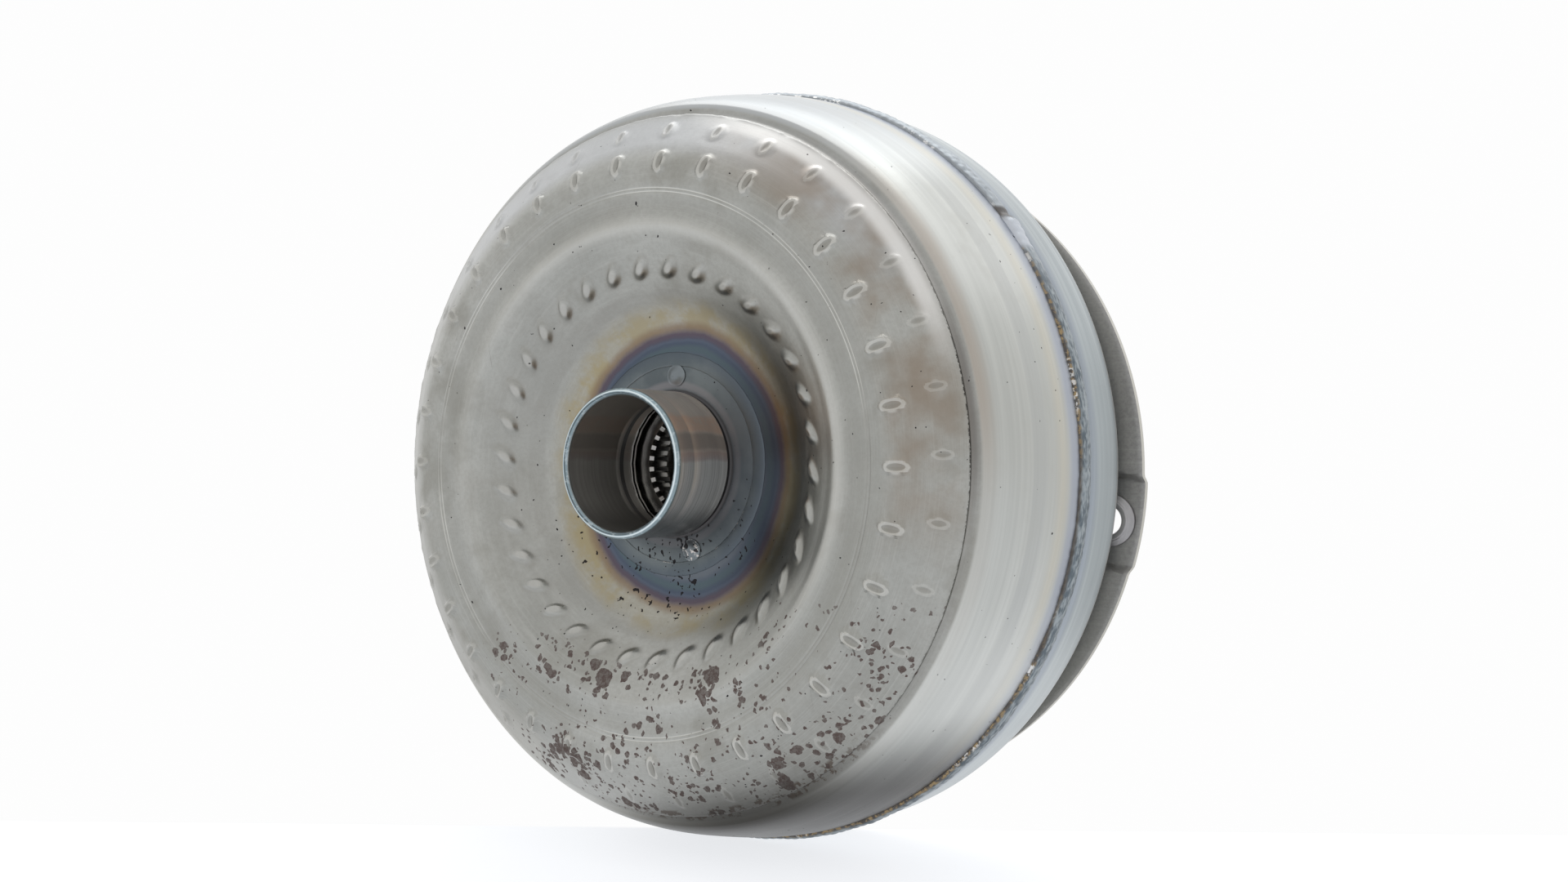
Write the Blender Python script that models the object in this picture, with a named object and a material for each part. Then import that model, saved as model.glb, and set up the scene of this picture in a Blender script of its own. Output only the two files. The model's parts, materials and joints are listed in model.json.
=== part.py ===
"""Torque converter of an automatic gearbox, modelled as its separate pieces.

The turning axis lies along Y. The pump hub points to -Y, towards the gearbox, and the crank
pilot points to +Y, towards the engine. The origin is the centre of the crank pilot's end face.
Stations are distances along the axis from the mouth of the pump hub, growing towards the engine.
Angles round the axis start at +X and turn towards -Z, as they are seen from the gearbox side.
"""

import math

import bmesh
import bpy
import numpy as np
from mathutils import Matrix, Vector

MM = 0.001

# General clearances
SEAT_GAP = 0.3 * MM
RUNNING_GAP = 0.6 * MM
CUT_MARGIN = 1.0 * MM

# Pump hub
HUB_RADIUS = 25.0 * MM
HUB_WALL = 2.4 * MM
HUB_LENGTH = 29.5 * MM
HUB_MOUTH_CHAMFER = 0.9 * MM
HUB_RELIEF_DEPTH = 0.5 * MM
HUB_FLANGE_WIDTH = 11.0 * MM
HUB_FLANGE_THICKNESS = 4.5 * MM
HUB_WELD_WIDTH = 3.0 * MM
HUB_WELD_HEIGHT = 0.9 * MM
SPOT_WELD_RADIUS = 3.8 * MM
SPOT_WELD_HEIGHT = 1.5 * MM
SPOT_WELD_ANGLES = (-88.0, 74.0)
HUB_BORE_RADIUS = HUB_RADIUS - HUB_WALL
HUB_FLANGE_RADIUS = HUB_RADIUS + HUB_FLANGE_WIDTH
FLANGE_INNER_STATION = HUB_LENGTH + HUB_FLANGE_THICKNESS

# Needle thrust bearings
BEARING_BORE_GAP = 1.4 * MM
BEARING_EDGE_GAP = 1.0 * MM
BEARING_RACE_THICKNESS = 0.8 * MM
NEEDLE_RADIUS = 0.8 * MM
NEEDLE_LENGTH = 7.0 * MM
NEEDLE_COUNT = 12
NEEDLE_CAGE_THICKNESS = 0.8 * MM
BEARING_INNER_RADIUS = HUB_BORE_RADIUS + BEARING_BORE_GAP
BEARING_OUTER_RADIUS = HUB_FLANGE_RADIUS - BEARING_EDGE_GAP
BEARING_HEIGHT = 2 * BEARING_RACE_THICKNESS + 2 * NEEDLE_RADIUS + 2 * SEAT_GAP

# One-way clutch inside the stator
CLUTCH_WIDTH = 10.0 * MM
INNER_RACE_RADIUS = 25.5 * MM
INNER_RACE_BORE = 17.6 * MM
SPLINE_DEPTH = 1.0 * MM
INNER_RACE_TEETH = 18
ROLLER_COUNT = 8
ROLLER_RADIUS = 3.2 * MM
ROLLER_LENGTH = 7.0 * MM
CAM_WALL = 5.2 * MM
CAM_RAMP_DEPTH = 1.2 * MM
CAGE_WALL = 4.0 * MM
CAP_THICKNESS = 1.2 * MM
SNAP_RING_THICKNESS = 1.0 * MM
SNAP_RING_WIDTH = 1.4 * MM
SNAP_RING_OPENING = 6.0 * MM
ROLLER_OUTSIDE = INNER_RACE_RADIUS + SEAT_GAP + 2 * ROLLER_RADIUS
CAM_OUTER_RADIUS = ROLLER_OUTSIDE + 2 * SEAT_GAP + CAM_WALL
CLUTCH_STATION = FLANGE_INNER_STATION + BEARING_HEIGHT + CAP_THICKNESS + 3 * SEAT_GAP
CLUTCH_END_STATION = CLUTCH_STATION + CLUTCH_WIDTH
CLUTCH_MIDDLE_STATION = (CLUTCH_STATION + CLUTCH_END_STATION) / 2
FRONT_BEARING_STATION = CLUTCH_END_STATION + CAP_THICKNESS + 2 * SEAT_GAP

# Impeller shell
SHELL_WALL = 4.0 * MM
SEAM_RADIUS = 133.6 * MM
SEAM_GAP = 0.3 * MM
STATOR_LEAD = 2.9 * MM
IMPELLER_DEPTH = 34.0 * MM
BROW_WIDTH = 22.7 * MM
BROW_DROP = 13.6 * MM
BAND_RISE = 14.9 * MM
BAND_LENGTH = 50.2 * MM
GROOVE_WIDTH = 3.1 * MM
GROOVE_DEPTH = 1.6 * MM
RIM_WELD_WIDTH = 8.0 * MM
RIM_WELD_HEIGHT = 1.9 * MM
MIDPLANE_STATION = CLUTCH_MIDDLE_STATION - STATOR_LEAD
SHOULDER_RADIUS = SEAM_RADIUS - BAND_RISE
CREST_RADIUS = SHOULDER_RADIUS - BROW_WIDTH
CREST_STATION = MIDPLANE_STATION - IMPELLER_DEPTH
SHOULDER_STATION = CREST_STATION + BROW_DROP
SEAM_STATION = SHOULDER_STATION + BAND_LENGTH

# Fluid circuit: impeller, turbine and stator
WHEEL_GAP = 3.0 * MM
CORE_LEAD = 4.0 * MM
CORE_HALF_WIDTH = 14.0 * MM
CORE_HALF_DEPTH = 13.0 * MM
CORE_WALL = 1.5 * MM
BLADE_THICKNESS = 1.2 * MM
BLADE_GAP = 1.2 * MM
IMPELLER_BLADES = 34
IMPELLER_SWEEP = 12.0
IMPELLER_INLET_RADIUS = 61.0 * MM
TURBINE_BLADES = 31
TURBINE_SWEEP = -28.0
TURBINE_OUTLET_RADIUS = 66.0 * MM
TURBINE_SHELL_WALL = 2.0 * MM
TURBINE_EDGE_GAP = 1.9 * MM
TURBINE_DEPTH = 28.0 * MM
TURBINE_SEAT_RISE = 1.2 * MM
STATOR_BLADES = 13
STATOR_HUB_WALL = 6.7 * MM
STATOR_RING_GAP = 1.0 * MM
STATOR_RING_WALL = 2.5 * MM
STATOR_RING_WIDTH = 9.2 * MM
STATOR_BLADE_CHORD = 11.0 * MM
STATOR_BLADE_THICKNESS = 3.4 * MM
STATOR_BLADE_ANGLE = 38.0
STATOR_BLADE_ROOT = 1.0 * MM
CORE_CENTRE_RADIUS = CREST_RADIUS - CORE_LEAD
STATOR_HUB_RADIUS = CAM_OUTER_RADIUS + SEAT_GAP + STATOR_HUB_WALL
STATOR_RING_RADIUS = CORE_CENTRE_RADIUS - CORE_HALF_WIDTH - STATOR_RING_GAP
TURBINE_LIP_STATION = MIDPLANE_STATION + WHEEL_GAP / 2
TURBINE_CREST_STATION = TURBINE_LIP_STATION + TURBINE_DEPTH

# Turbine hub
TURBINE_HUB_RADIUS = 26.0 * MM
TURBINE_HUB_SHOULDER = 4.5 * MM
TURBINE_HUB_NECK = 20.0 * MM
TURBINE_HUB_BORE = 12.4 * MM
TURBINE_HUB_TEETH = 20
TURBINE_TEETH_INSET = 2.0 * MM
TURBINE_BOSS_EDGE = 5.0 * MM
TURBINE_HUB_FLANGE_WIDTH = 12.0 * MM
TURBINE_HUB_FLANGE_THICKNESS = 3.7 * MM
TURBINE_FOOT_WIDTH = 6.0 * MM
RIVET_COUNT = 6
RIVET_START_ANGLE = 30.0
RIVET_SHANK_RADIUS = 2.5 * MM
RIVET_HEAD_RADIUS = 4.0 * MM
RIVET_HEAD_HEIGHT = 1.3 * MM
RIVET_HOLE_REACH = 8.0 * MM
THRUST_WASHER_THICKNESS = 3.0 * MM
SEAL_WIDTH = 2.4 * MM
SEAL_DEPTH = 2.0 * MM
TURBINE_HUB_STATION = FRONT_BEARING_STATION + BEARING_HEIGHT + SEAT_GAP
TURBINE_SEAT_STATION = TURBINE_HUB_STATION + TURBINE_SEAT_RISE
TURBINE_SEAT_RADIUS = BEARING_OUTER_RADIUS + TURBINE_BOSS_EDGE
TURBINE_HUB_FLANGE_RADIUS = TURBINE_SEAT_RADIUS + TURBINE_HUB_FLANGE_WIDTH
RIVET_CIRCLE_RADIUS = (TURBINE_SEAT_RADIUS + TURBINE_HUB_FLANGE_RADIUS) / 2

# Front cover
COVER_WALL = 5.0 * MM
COVER_STEP = 0.8 * MM
COVER_STEP_LEAD = 1.0 * MM
COVER_CORNER = 12.0 * MM
COVER_BOSS_RADIUS = 55.0 * MM
COVER_BOSS_RISE = 3.0 * MM
COVER_BOSS_SLOPE = 4.0 * MM
COVER_RADIUS = SEAM_RADIUS + COVER_STEP

# Lock-up piston
PISTON_EDGE_GAP = 10.4 * MM
PISTON_WALL = 3.0 * MM
PISTON_TRAVEL = 1.5 * MM
PISTON_RIM_WALL = 3.0 * MM
PISTON_RIM_DEPTH = 10.5 * MM
PISTON_COLLAR_GAP = 0.95 * MM
PISTON_DISH = 3.0 * MM
LINING_EDGE = 2.0 * MM
LINING_WIDTH = 19.0 * MM
LINING_THICKNESS = 1.4 * MM
PISTON_RADIUS = COVER_RADIUS - COVER_WALL - PISTON_EDGE_GAP
LINING_OUTER_RADIUS = PISTON_RADIUS - LINING_EDGE
LINING_INNER_RADIUS = LINING_OUTER_RADIUS - LINING_WIDTH

# Torsional damper
SPRING_COUNT = 6
SPRING_EDGE_GAP = 10.2 * MM
SPRING_RADIUS = 5.6 * MM
SPRING_WIRE_RADIUS = 1.2 * MM
SPRING_LENGTH = 38.0 * MM
SPRING_TURNS = 4
HUB_PLATE_THICKNESS = 2.6 * MM
HUB_PLATE_SHOULDER = 1.85 * MM
SIDE_PLATE_THICKNESS = 1.6 * MM
SIDE_PLATE_BORDER = 7.2 * MM
DAMPER_EDGE_GAP = 10.0 * MM
DAMPER_RIM_WALL = 5.0 * MM
DAMPER_PLATE_GAP = 0.5 * MM
DAMPER_REAR_GAP = 1.6 * MM
DAMPER_FRONT_GAP = 1.2 * MM
DRIVE_TAB_COUNT = 6
DRIVE_TAB_START_ANGLE = 30.0
DRIVE_TAB_WIDTH = 12.0 * MM
DAMPER_RADIUS = PISTON_RADIUS - PISTON_RIM_WALL - DAMPER_EDGE_GAP
SPRING_REACH = SPRING_RADIUS + SPRING_WIRE_RADIUS
SPRING_CIRCLE_RADIUS = DAMPER_RADIUS - DAMPER_RIM_WALL - SPRING_REACH - SPRING_EDGE_GAP
SIDE_PLATE_INNER_RADIUS = SPRING_CIRCLE_RADIUS - SPRING_REACH - SIDE_PLATE_BORDER
DAMPER_HALF_DEPTH = SPRING_REACH + DAMPER_PLATE_GAP + SIDE_PLATE_THICKNESS
DAMPER_STATION = TURBINE_CREST_STATION + DAMPER_REAR_GAP + DAMPER_HALF_DEPTH
HUB_PLATE_END_STATION = DAMPER_STATION + HUB_PLATE_THICKNESS / 2 + HUB_PLATE_SHOULDER
PISTON_STATION = DAMPER_STATION + DAMPER_HALF_DEPTH + DAMPER_FRONT_GAP + PISTON_DISH
LINING_STATION = PISTON_STATION + PISTON_WALL + SEAT_GAP
COVER_INNER_STATION = LINING_STATION + LINING_THICKNESS + SEAT_GAP + PISTON_TRAVEL
COVER_FACE_STATION = COVER_INNER_STATION + COVER_WALL
BOSS_FACE_STATION = COVER_FACE_STATION + COVER_BOSS_RISE
BOSS_INNER_STATION = BOSS_FACE_STATION - COVER_WALL
TURBINE_HUB_END = BOSS_INNER_STATION - THRUST_WASHER_THICKNESS - 2 * SEAT_GAP

# Crank pilot and drive plate
PILOT_RADIUS = 14.0 * MM
PILOT_LENGTH = 12.1 * MM
PILOT_FOOT_WIDTH = 6.0 * MM
PILOT_FOOT_HEIGHT = 2.2 * MM
PILOT_CHAMFER = 1.5 * MM
PLATE_THICKNESS = 2.7 * MM
PLATE_WELD_SIZE = 3.0 * MM
PLATE_WELD_ROOM = 5.0 * MM
PLATE_LOBE_COUNT = 3
PLATE_LOBE_INSET = 16.9 * MM
PLATE_LOBE_OFFSET = 21.5 * MM
PLATE_LOBE_ANGLE = 3.0
PAD_ANGLE = 8.0
PAD_WIDTH = 29.0 * MM
PAD_RISE = 3.0 * MM
PAD_CREASE = 2.5 * MM
BOLT_CIRCLE_LEAD = 10.0 * MM
PAD_BOLT_LEAD = 10.5 * MM
PLATE_HOLE_REACH = 10.0 * MM
NUT_THREAD_RADIUS = 4.9 * MM
NUT_BARREL_WALL = 1.4 * MM
NUT_FLANGE_WIDTH = 2.8 * MM
NUT_FLANGE_THICKNESS = 2.6 * MM
NUT_CONE_HEIGHT = 1.4 * MM
PILOT_FOOT_RADIUS = PILOT_RADIUS + PILOT_FOOT_WIDTH
PILOT_FOOT_STATION = BOSS_FACE_STATION + SEAT_GAP
OVERALL_LENGTH = PILOT_FOOT_STATION + PILOT_LENGTH
PLATE_STATION = COVER_FACE_STATION + SEAT_GAP
PLATE_INNER_RADIUS = COVER_BOSS_RADIUS + COVER_BOSS_SLOPE + PLATE_WELD_ROOM
PLATE_LOBE_ARC_RADIUS = COVER_RADIUS - PLATE_LOBE_INSET
BOLT_CIRCLE_RADIUS = PLATE_LOBE_ARC_RADIUS + BOLT_CIRCLE_LEAD
PAD_INNER_RADIUS = BOLT_CIRCLE_RADIUS - PAD_BOLT_LEAD
NUT_BARREL_RADIUS = NUT_THREAD_RADIUS + NUT_BARREL_WALL
NUT_FLANGE_RADIUS = NUT_BARREL_RADIUS + NUT_FLANGE_WIDTH

# Facets
HOUSING_SEGMENTS = IMPELLER_BLADES
INNER_SEGMENTS = 24
NUT_SEGMENTS = 12
SMALL_SEGMENTS = 10
RIVET_SEGMENTS = 8
NEEDLE_SEGMENTS = 6
SPRING_STEPS_PER_TURN = 6
SPRING_WIRE_SIDES = 4
CORE_STEPS = 4
EDGE_SAMPLES = 400
PLATE_EDGE_STEPS = 9
SMOOTH_ANGLE = 32.0

# Bodies: what carries each one, and where its empty stands on the axis
BODIES = {
    "housing": (None, OVERALL_LENGTH),
    "turbine": ("housing", TURBINE_HUB_STATION),
    "damper": ("turbine", DAMPER_STATION),
    "piston": ("damper", PISTON_STATION),
    "stator": ("housing", CLUTCH_MIDDLE_STATION),
    "inner_race": ("stator", CLUTCH_MIDDLE_STATION),
}

# Pieces on the moving bodies, by the start of their names; the housing has all the others
RIDERS = {
    "turbine": ("turbine_", "damper_hub_plate", "piston_seal", "front_bearing_front_race"),
    "damper": ("damper_rear_plate", "damper_front_plate", "damper_rim", "damper_spring_"),
    "piston": ("lock_up_piston", "friction_lining"),
    "stator": ("stator_", "clutch_cam", "clutch_cage", "clutch_roller_", "rear_bearing_front_race",
               "rear_bearing_needles", "front_bearing_rear_race", "front_bearing_needles"),
    "inner_race": ("clutch_inner_race",),
}


def y_of(station):
    """World Y of a station, which is measured from the pump hub's mouth."""
    return station - OVERALL_LENGTH


def clear_scene():
    for item in list(bpy.data.objects):
        bpy.data.objects.remove(item, do_unlink=True)


def material(name, colour, roughness, metallic):
    made = bpy.data.materials.new(name)
    made.use_nodes = True
    shader = made.node_tree.nodes["Principled BSDF"]
    shader.inputs["Base Color"].default_value = (*colour, 1.0)
    shader.inputs["Roughness"].default_value = roughness
    shader.inputs["Metallic"].default_value = metallic
    made.diffuse_color = (*colour, 1.0)
    return made


def link(name, mesh, finish):
    piece = bpy.data.objects.new(name, mesh)
    bpy.context.scene.collection.objects.link(piece)
    mesh.materials.clear()
    mesh.materials.append(finish)
    mesh.shade_smooth()
    mesh.set_sharp_from_angle(angle=math.radians(SMOOTH_ANGLE))
    return piece


def mesh_from(bm, name):
    bmesh.ops.recalc_face_normals(bm, faces=bm.faces)
    mesh = bpy.data.meshes.new(name)
    bm.to_mesh(mesh)
    bm.free()
    return mesh


def turned_mesh(name, outline, segments):
    """Spin a closed outline of (radius, station) points round the Y axis."""
    bm = bmesh.new()
    ring = [bm.verts.new((radius, y_of(station), 0.0)) for radius, station in outline]
    edges = [bm.edges.new((ring[i - 1], ring[i])) for i in range(len(ring))]
    bmesh.ops.spin(
        bm, geom=ring + edges, cent=(0, 0, 0), axis=(0, 1, 0),
        angle=2 * math.pi, steps=segments, use_merge=True,
    )
    bmesh.ops.remove_doubles(bm, verts=bm.verts, dist=1e-6)
    flat = [edge for edge in bm.edges if not edge.link_faces]
    bmesh.ops.delete(bm, geom=flat, context="EDGES")
    return mesh_from(bm, name)


def turned(name, outline, finish, segments=INNER_SEGMENTS):
    return link(name, turned_mesh(name, outline, segments), finish)


def ring_outline(inner, outer, start, end):
    return [(inner, start), (outer, start), (outer, end), (inner, end)]


def apply_boolean(piece, other, operation):
    """Cut or join with another object, which is used up."""
    step = piece.modifiers.new("boolean", "BOOLEAN")
    step.operation = operation
    step.solver = "EXACT"
    step.object = other
    seen = piece.evaluated_get(bpy.context.evaluated_depsgraph_get())
    mesh = bpy.data.meshes.new_from_object(seen)
    piece.modifiers.clear()
    old = piece.data
    piece.data = mesh
    bpy.data.meshes.remove(old)
    bpy.data.objects.remove(other, do_unlink=True)
    mesh.shade_smooth()
    mesh.set_sharp_from_angle(angle=math.radians(SMOOTH_ANGLE))


def polar(radius, angle_deg, station):
    """World point at a radius and an angle round the axis."""
    angle = math.radians(angle_deg)
    return (radius * math.cos(angle), y_of(station), -radius * math.sin(angle))


def offset(curve, distance):
    """Curve moved sideways into the fluid space, for curves that run clockwise round it."""
    curve = np.asarray(curve, dtype=float)
    run = np.diff(curve, axis=0)
    run /= np.linalg.norm(run, axis=1)[:, None]
    side = np.stack([-run[:, 1], run[:, 0]], axis=1)
    joint = np.vstack([side[:1], side[:-1] + side[1:], side[-1:]])
    joint /= np.linalg.norm(joint, axis=1)[:, None]
    spread = np.concatenate([[1.0], (joint[1:-1] * side[1:]).sum(axis=1), [1.0]])
    return curve + joint * (distance / spread)[:, None]


def between(start, end, shape):
    """Points from start to end, given as shares of the way in radius and station."""
    start = np.asarray(start)
    end = np.asarray(end)
    return [tuple(start + (end - start) * np.array(share)) for share in shape]


def resample(curve, count):
    """The same curve with evenly spaced points."""
    curve = np.asarray(curve)
    reach = np.concatenate([[0.0], np.cumsum(np.linalg.norm(np.diff(curve, axis=0), axis=1))])
    wanted = np.linspace(0.0, reach[-1], count)
    return np.stack([np.interp(wanted, reach, curve[:, k]) for k in (0, 1)], axis=1)


def prism_mesh(name, inner_radii, outer_radii, angles_deg, start, end):
    """Ring between two stations whose bore and rim follow a radius at each angle."""
    angles = np.radians(angles_deg)
    loops = []
    for radii, station in (
        (outer_radii, start), (outer_radii, end), (inner_radii, end), (inner_radii, start)
    ):
        radii = np.broadcast_to(radii, angles.shape)
        loops.append(np.stack([
            radii * np.cos(angles), np.full_like(angles, y_of(station)), -radii * np.sin(angles)
        ], axis=1))
    count = len(angles)
    faces = []
    for ring in range(4):
        following = (ring + 1) % 4
        for i in range(count):
            j = (i + 1) % count
            faces.append((ring * count + i, ring * count + j,
                          following * count + j, following * count + i))
    mesh = bpy.data.meshes.new(name)
    mesh.from_pydata(np.vstack(loops).tolist(), [], faces)
    bm = bmesh.new()
    bm.from_mesh(mesh)
    bpy.data.meshes.remove(mesh)
    return mesh_from(bm, name)


def tooth_outline(tip_radius, root_radius, teeth):
    """Angles and radii of straight-sided teeth, four points to a tooth."""
    pitch = 360.0 / teeth
    angles = np.concatenate([
        (np.array([-0.30, -0.20, 0.20, 0.30]) + tooth) * pitch for tooth in range(teeth)
    ])
    radii = np.tile([root_radius, tip_radius, tip_radius, root_radius], teeth)
    return angles, radii


def bars_mesh(name, places, profile, segments=SMALL_SEGMENTS):
    """Round bars along Y at (radius, angle) places, each turned from (radius, station) pairs."""
    bm = bmesh.new()
    for place_radius, angle in places:
        x, _, z = polar(place_radius, angle, 0.0)
        rings = []
        for radius, station in profile:
            turn = np.arange(segments) * 2 * math.pi / segments
            rings.append([
                bm.verts.new((x + radius * math.cos(a), y_of(station), z + radius * math.sin(a)))
                for a in turn
            ])
        bm.faces.new(rings[0])
        bm.faces.new(rings[-1])
        for low, high in zip(rings, rings[1:]):
            for i in range(segments):
                j = (i + 1) % segments
                bm.faces.new((low[i], low[j], high[j], high[i]))
    return mesh_from(bm, name)


def blocks_mesh(name, angles_deg, radius_span, width, station_span):
    """Boxes at angles round the axis, each square to its own radius."""
    bm = bmesh.new()
    for angle in angles_deg:
        box = bmesh.ops.create_cube(bm, size=1.0)["verts"]
        low, high = radius_span
        near, far = y_of(station_span[0]), y_of(station_span[1])
        bmesh.ops.scale(bm, verts=box, vec=(high - low, far - near, width))
        bmesh.ops.translate(bm, verts=box, vec=((low + high) / 2, (near + far) / 2, 0.0))
        turn = Matrix.Rotation(math.radians(angle), 3, "Y")
        bmesh.ops.rotate(bm, verts=box, cent=(0, 0, 0), matrix=turn)
    return mesh_from(bm, name)


def tool(mesh):
    """Scene object for a cutter or a joined part, until a Boolean uses it up."""
    made = bpy.data.objects.new(mesh.name, mesh)
    bpy.context.scene.collection.objects.link(made)
    made.hide_render = True
    made.display_type = "WIRE"
    return made


def even_angles(count, start=0.0):
    return [start + 360.0 * k / count for k in range(count)]


# Housing


def shell_curve():
    """Outer line of the impeller shell from the hub flange to the rim seam, without the groove."""
    hub_edge = (HUB_FLANGE_RADIUS + SEAT_GAP, HUB_LENGTH)
    crest = (CREST_RADIUS, CREST_STATION)
    shoulder = (SHOULDER_RADIUS, SHOULDER_STATION)
    seam = (SEAM_RADIUS, SEAM_STATION - SEAM_GAP / 2)
    bowl = between(hub_edge, crest, [
        (0, 0), (0.15, 0.03), (0.233, 0.107), (0.367, 0.35), (0.508, 0.642),
        (0.633, 0.851), (0.8, 0.968),
    ])
    brow = between(crest, shoulder, [(0, 0), (0.22, 0.066), (0.485, 0.294), (0.722, 0.632), (1, 1)])
    band = between(shoulder, seam, [
        (0.302, 0.08), (0.436, 0.162), (0.584, 0.292), (0.732, 0.472), (0.866, 0.659), (1, 1),
    ])
    return np.array(bowl + brow + band), len(bowl) + len(brow)


def shell_inside(clearance=0.0):
    curve, _ = shell_curve()
    return offset(np.vstack([curve[:-1:2], curve[-1:]]), SHELL_WALL + clearance)


def impeller_shell(finish):
    curve, shoulder_end = shell_curve()
    groove = [
        (SHOULDER_RADIUS + 0.2 * GROOVE_WIDTH, SHOULDER_STATION + GROOVE_DEPTH),
        (SHOULDER_RADIUS + 0.7 * GROOVE_WIDTH, SHOULDER_STATION + GROOVE_DEPTH * 1.3),
        (SHOULDER_RADIUS + GROOVE_WIDTH, SHOULDER_STATION + GROOVE_DEPTH * 1.4),
    ]
    outside = list(map(tuple, curve[:shoulder_end])) + groove + list(map(tuple, curve[shoulder_end:]))
    inside = [tuple(point) for point in shell_inside()[::-1]]
    inside[0] = (SEAM_RADIUS - SHELL_WALL, SEAM_STATION - SEAM_GAP / 2)
    inside[-1] = (HUB_FLANGE_RADIUS + SEAT_GAP, HUB_LENGTH + SHELL_WALL)
    return turned("impeller_shell", outside + inside, finish, HOUSING_SEGMENTS)


def pump_hub(finish):
    relief = HUB_RADIUS - HUB_RELIEF_DEPTH
    outline = [
        (HUB_BORE_RADIUS, HUB_MOUTH_CHAMFER),
        (HUB_BORE_RADIUS + HUB_MOUTH_CHAMFER / 2, 0.0),
        (HUB_RADIUS - HUB_MOUTH_CHAMFER, 0.0),
        (HUB_RADIUS, HUB_MOUTH_CHAMFER),
        (HUB_RADIUS, HUB_LENGTH - 4 * HUB_RELIEF_DEPTH),
        (relief, HUB_LENGTH - 3 * HUB_RELIEF_DEPTH),
        (relief, HUB_LENGTH),
        (HUB_FLANGE_RADIUS, HUB_LENGTH),
        (HUB_FLANGE_RADIUS, FLANGE_INNER_STATION),
        (HUB_BORE_RADIUS, FLANGE_INNER_STATION),
    ]
    return turned("pump_hub", outline, finish, HOUSING_SEGMENTS)


def weld_outline(centre, half_width, base, height):
    """Half-round bead on a face square to the axis, standing out towards the gearbox."""
    turn = np.radians([0, 55, 125, 180])
    return [(centre + half_width * math.cos(a), base - height * math.sin(a)) for a in turn]


def housing_welds(finish):
    hub_seam = HUB_FLANGE_RADIUS + SEAT_GAP / 2
    base = HUB_LENGTH - SEAT_GAP
    bead = weld_outline(hub_seam, HUB_WELD_WIDTH / 2, base, HUB_WELD_HEIGHT)
    welds = [turned("hub_weld", bead, finish, HOUSING_SEGMENTS)]
    spot_place = (HUB_RADIUS + HUB_FLANGE_RADIUS) / 2
    for number, angle in enumerate(SPOT_WELD_ANGLES, start=1):
        profile = [
            (SPOT_WELD_RADIUS * 0.55, base - SPOT_WELD_HEIGHT),
            (SPOT_WELD_RADIUS * 0.9, base - SPOT_WELD_HEIGHT * 0.6),
            (SPOT_WELD_RADIUS, base),
        ]
        name = f"hub_spot_weld_{number}"
        welds.append(link(name, bars_mesh(name, [(spot_place, angle)], profile), finish))
    turn = np.radians([0, 50, 90, 130, 180])
    rim_base = SEAM_RADIUS + SEAT_GAP
    rim = [
        (rim_base + RIM_WELD_HEIGHT * math.sin(a), SEAM_STATION - RIM_WELD_WIDTH / 2 * math.cos(a))
        for a in turn
    ]
    welds.append(turned("rim_weld", rim, finish, HOUSING_SEGMENTS))
    corner = COVER_FACE_STATION + SEAT_GAP
    edge = PLATE_INNER_RADIUS - 2 * SEAT_GAP
    fillet = [(edge, corner), (edge, corner + PLATE_WELD_SIZE * 0.8), (edge - PLATE_WELD_SIZE, corner)]
    welds.append(turned("drive_plate_weld", fillet, finish, HOUSING_SEGMENTS))
    return welds


def corner_arc(radius, centre, steps=3):
    """Quarter round from the rim to the face of the cover."""
    turn = np.linspace(0.0, math.pi / 2, steps + 1)
    return [(centre[0] + radius * math.cos(a), centre[1] + radius * math.sin(a)) for a in turn]


def front_cover(finish):
    centre = (COVER_RADIUS - COVER_CORNER, COVER_FACE_STATION - COVER_CORNER)
    seam = SEAM_STATION + SEAM_GAP / 2
    inner_step = COVER_BOSS_RADIUS - COVER_WALL * 0.4
    outline = [(SEAM_RADIUS, seam), (SEAM_RADIUS, seam + RIM_WELD_WIDTH / 2 + COVER_STEP_LEAD),
               (COVER_RADIUS, seam + RIM_WELD_WIDTH)]
    outline += corner_arc(COVER_CORNER, centre)
    outline += [
        (COVER_BOSS_RADIUS + COVER_BOSS_SLOPE, COVER_FACE_STATION),
        (COVER_BOSS_RADIUS, BOSS_FACE_STATION),
        (0.0, BOSS_FACE_STATION),
        (0.0, BOSS_INNER_STATION),
        (inner_step, BOSS_INNER_STATION),
        (inner_step + COVER_BOSS_SLOPE, COVER_INNER_STATION),
    ]
    outline += corner_arc(COVER_CORNER - COVER_WALL, centre)[::-1]
    outline += [(SEAM_RADIUS - COVER_WALL, seam + RIM_WELD_WIDTH), (SEAM_RADIUS - COVER_WALL, seam)]
    return turned("front_cover", outline, finish, HOUSING_SEGMENTS)


def crank_pilot(finish):
    outline = [
        (0.0, PILOT_FOOT_STATION),
        (PILOT_FOOT_RADIUS, PILOT_FOOT_STATION),
        (PILOT_FOOT_RADIUS, PILOT_FOOT_STATION + PILOT_FOOT_HEIGHT * 0.6),
        (PILOT_FOOT_RADIUS - PILOT_FOOT_HEIGHT * 0.4, PILOT_FOOT_STATION + PILOT_FOOT_HEIGHT),
        (PILOT_RADIUS, PILOT_FOOT_STATION + PILOT_FOOT_HEIGHT),
        (PILOT_RADIUS, OVERALL_LENGTH - PILOT_CHAMFER),
        (PILOT_RADIUS - PILOT_CHAMFER, OVERALL_LENGTH),
        (0.0, OVERALL_LENGTH),
    ]
    return turned("crank_pilot", outline, finish)


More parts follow.
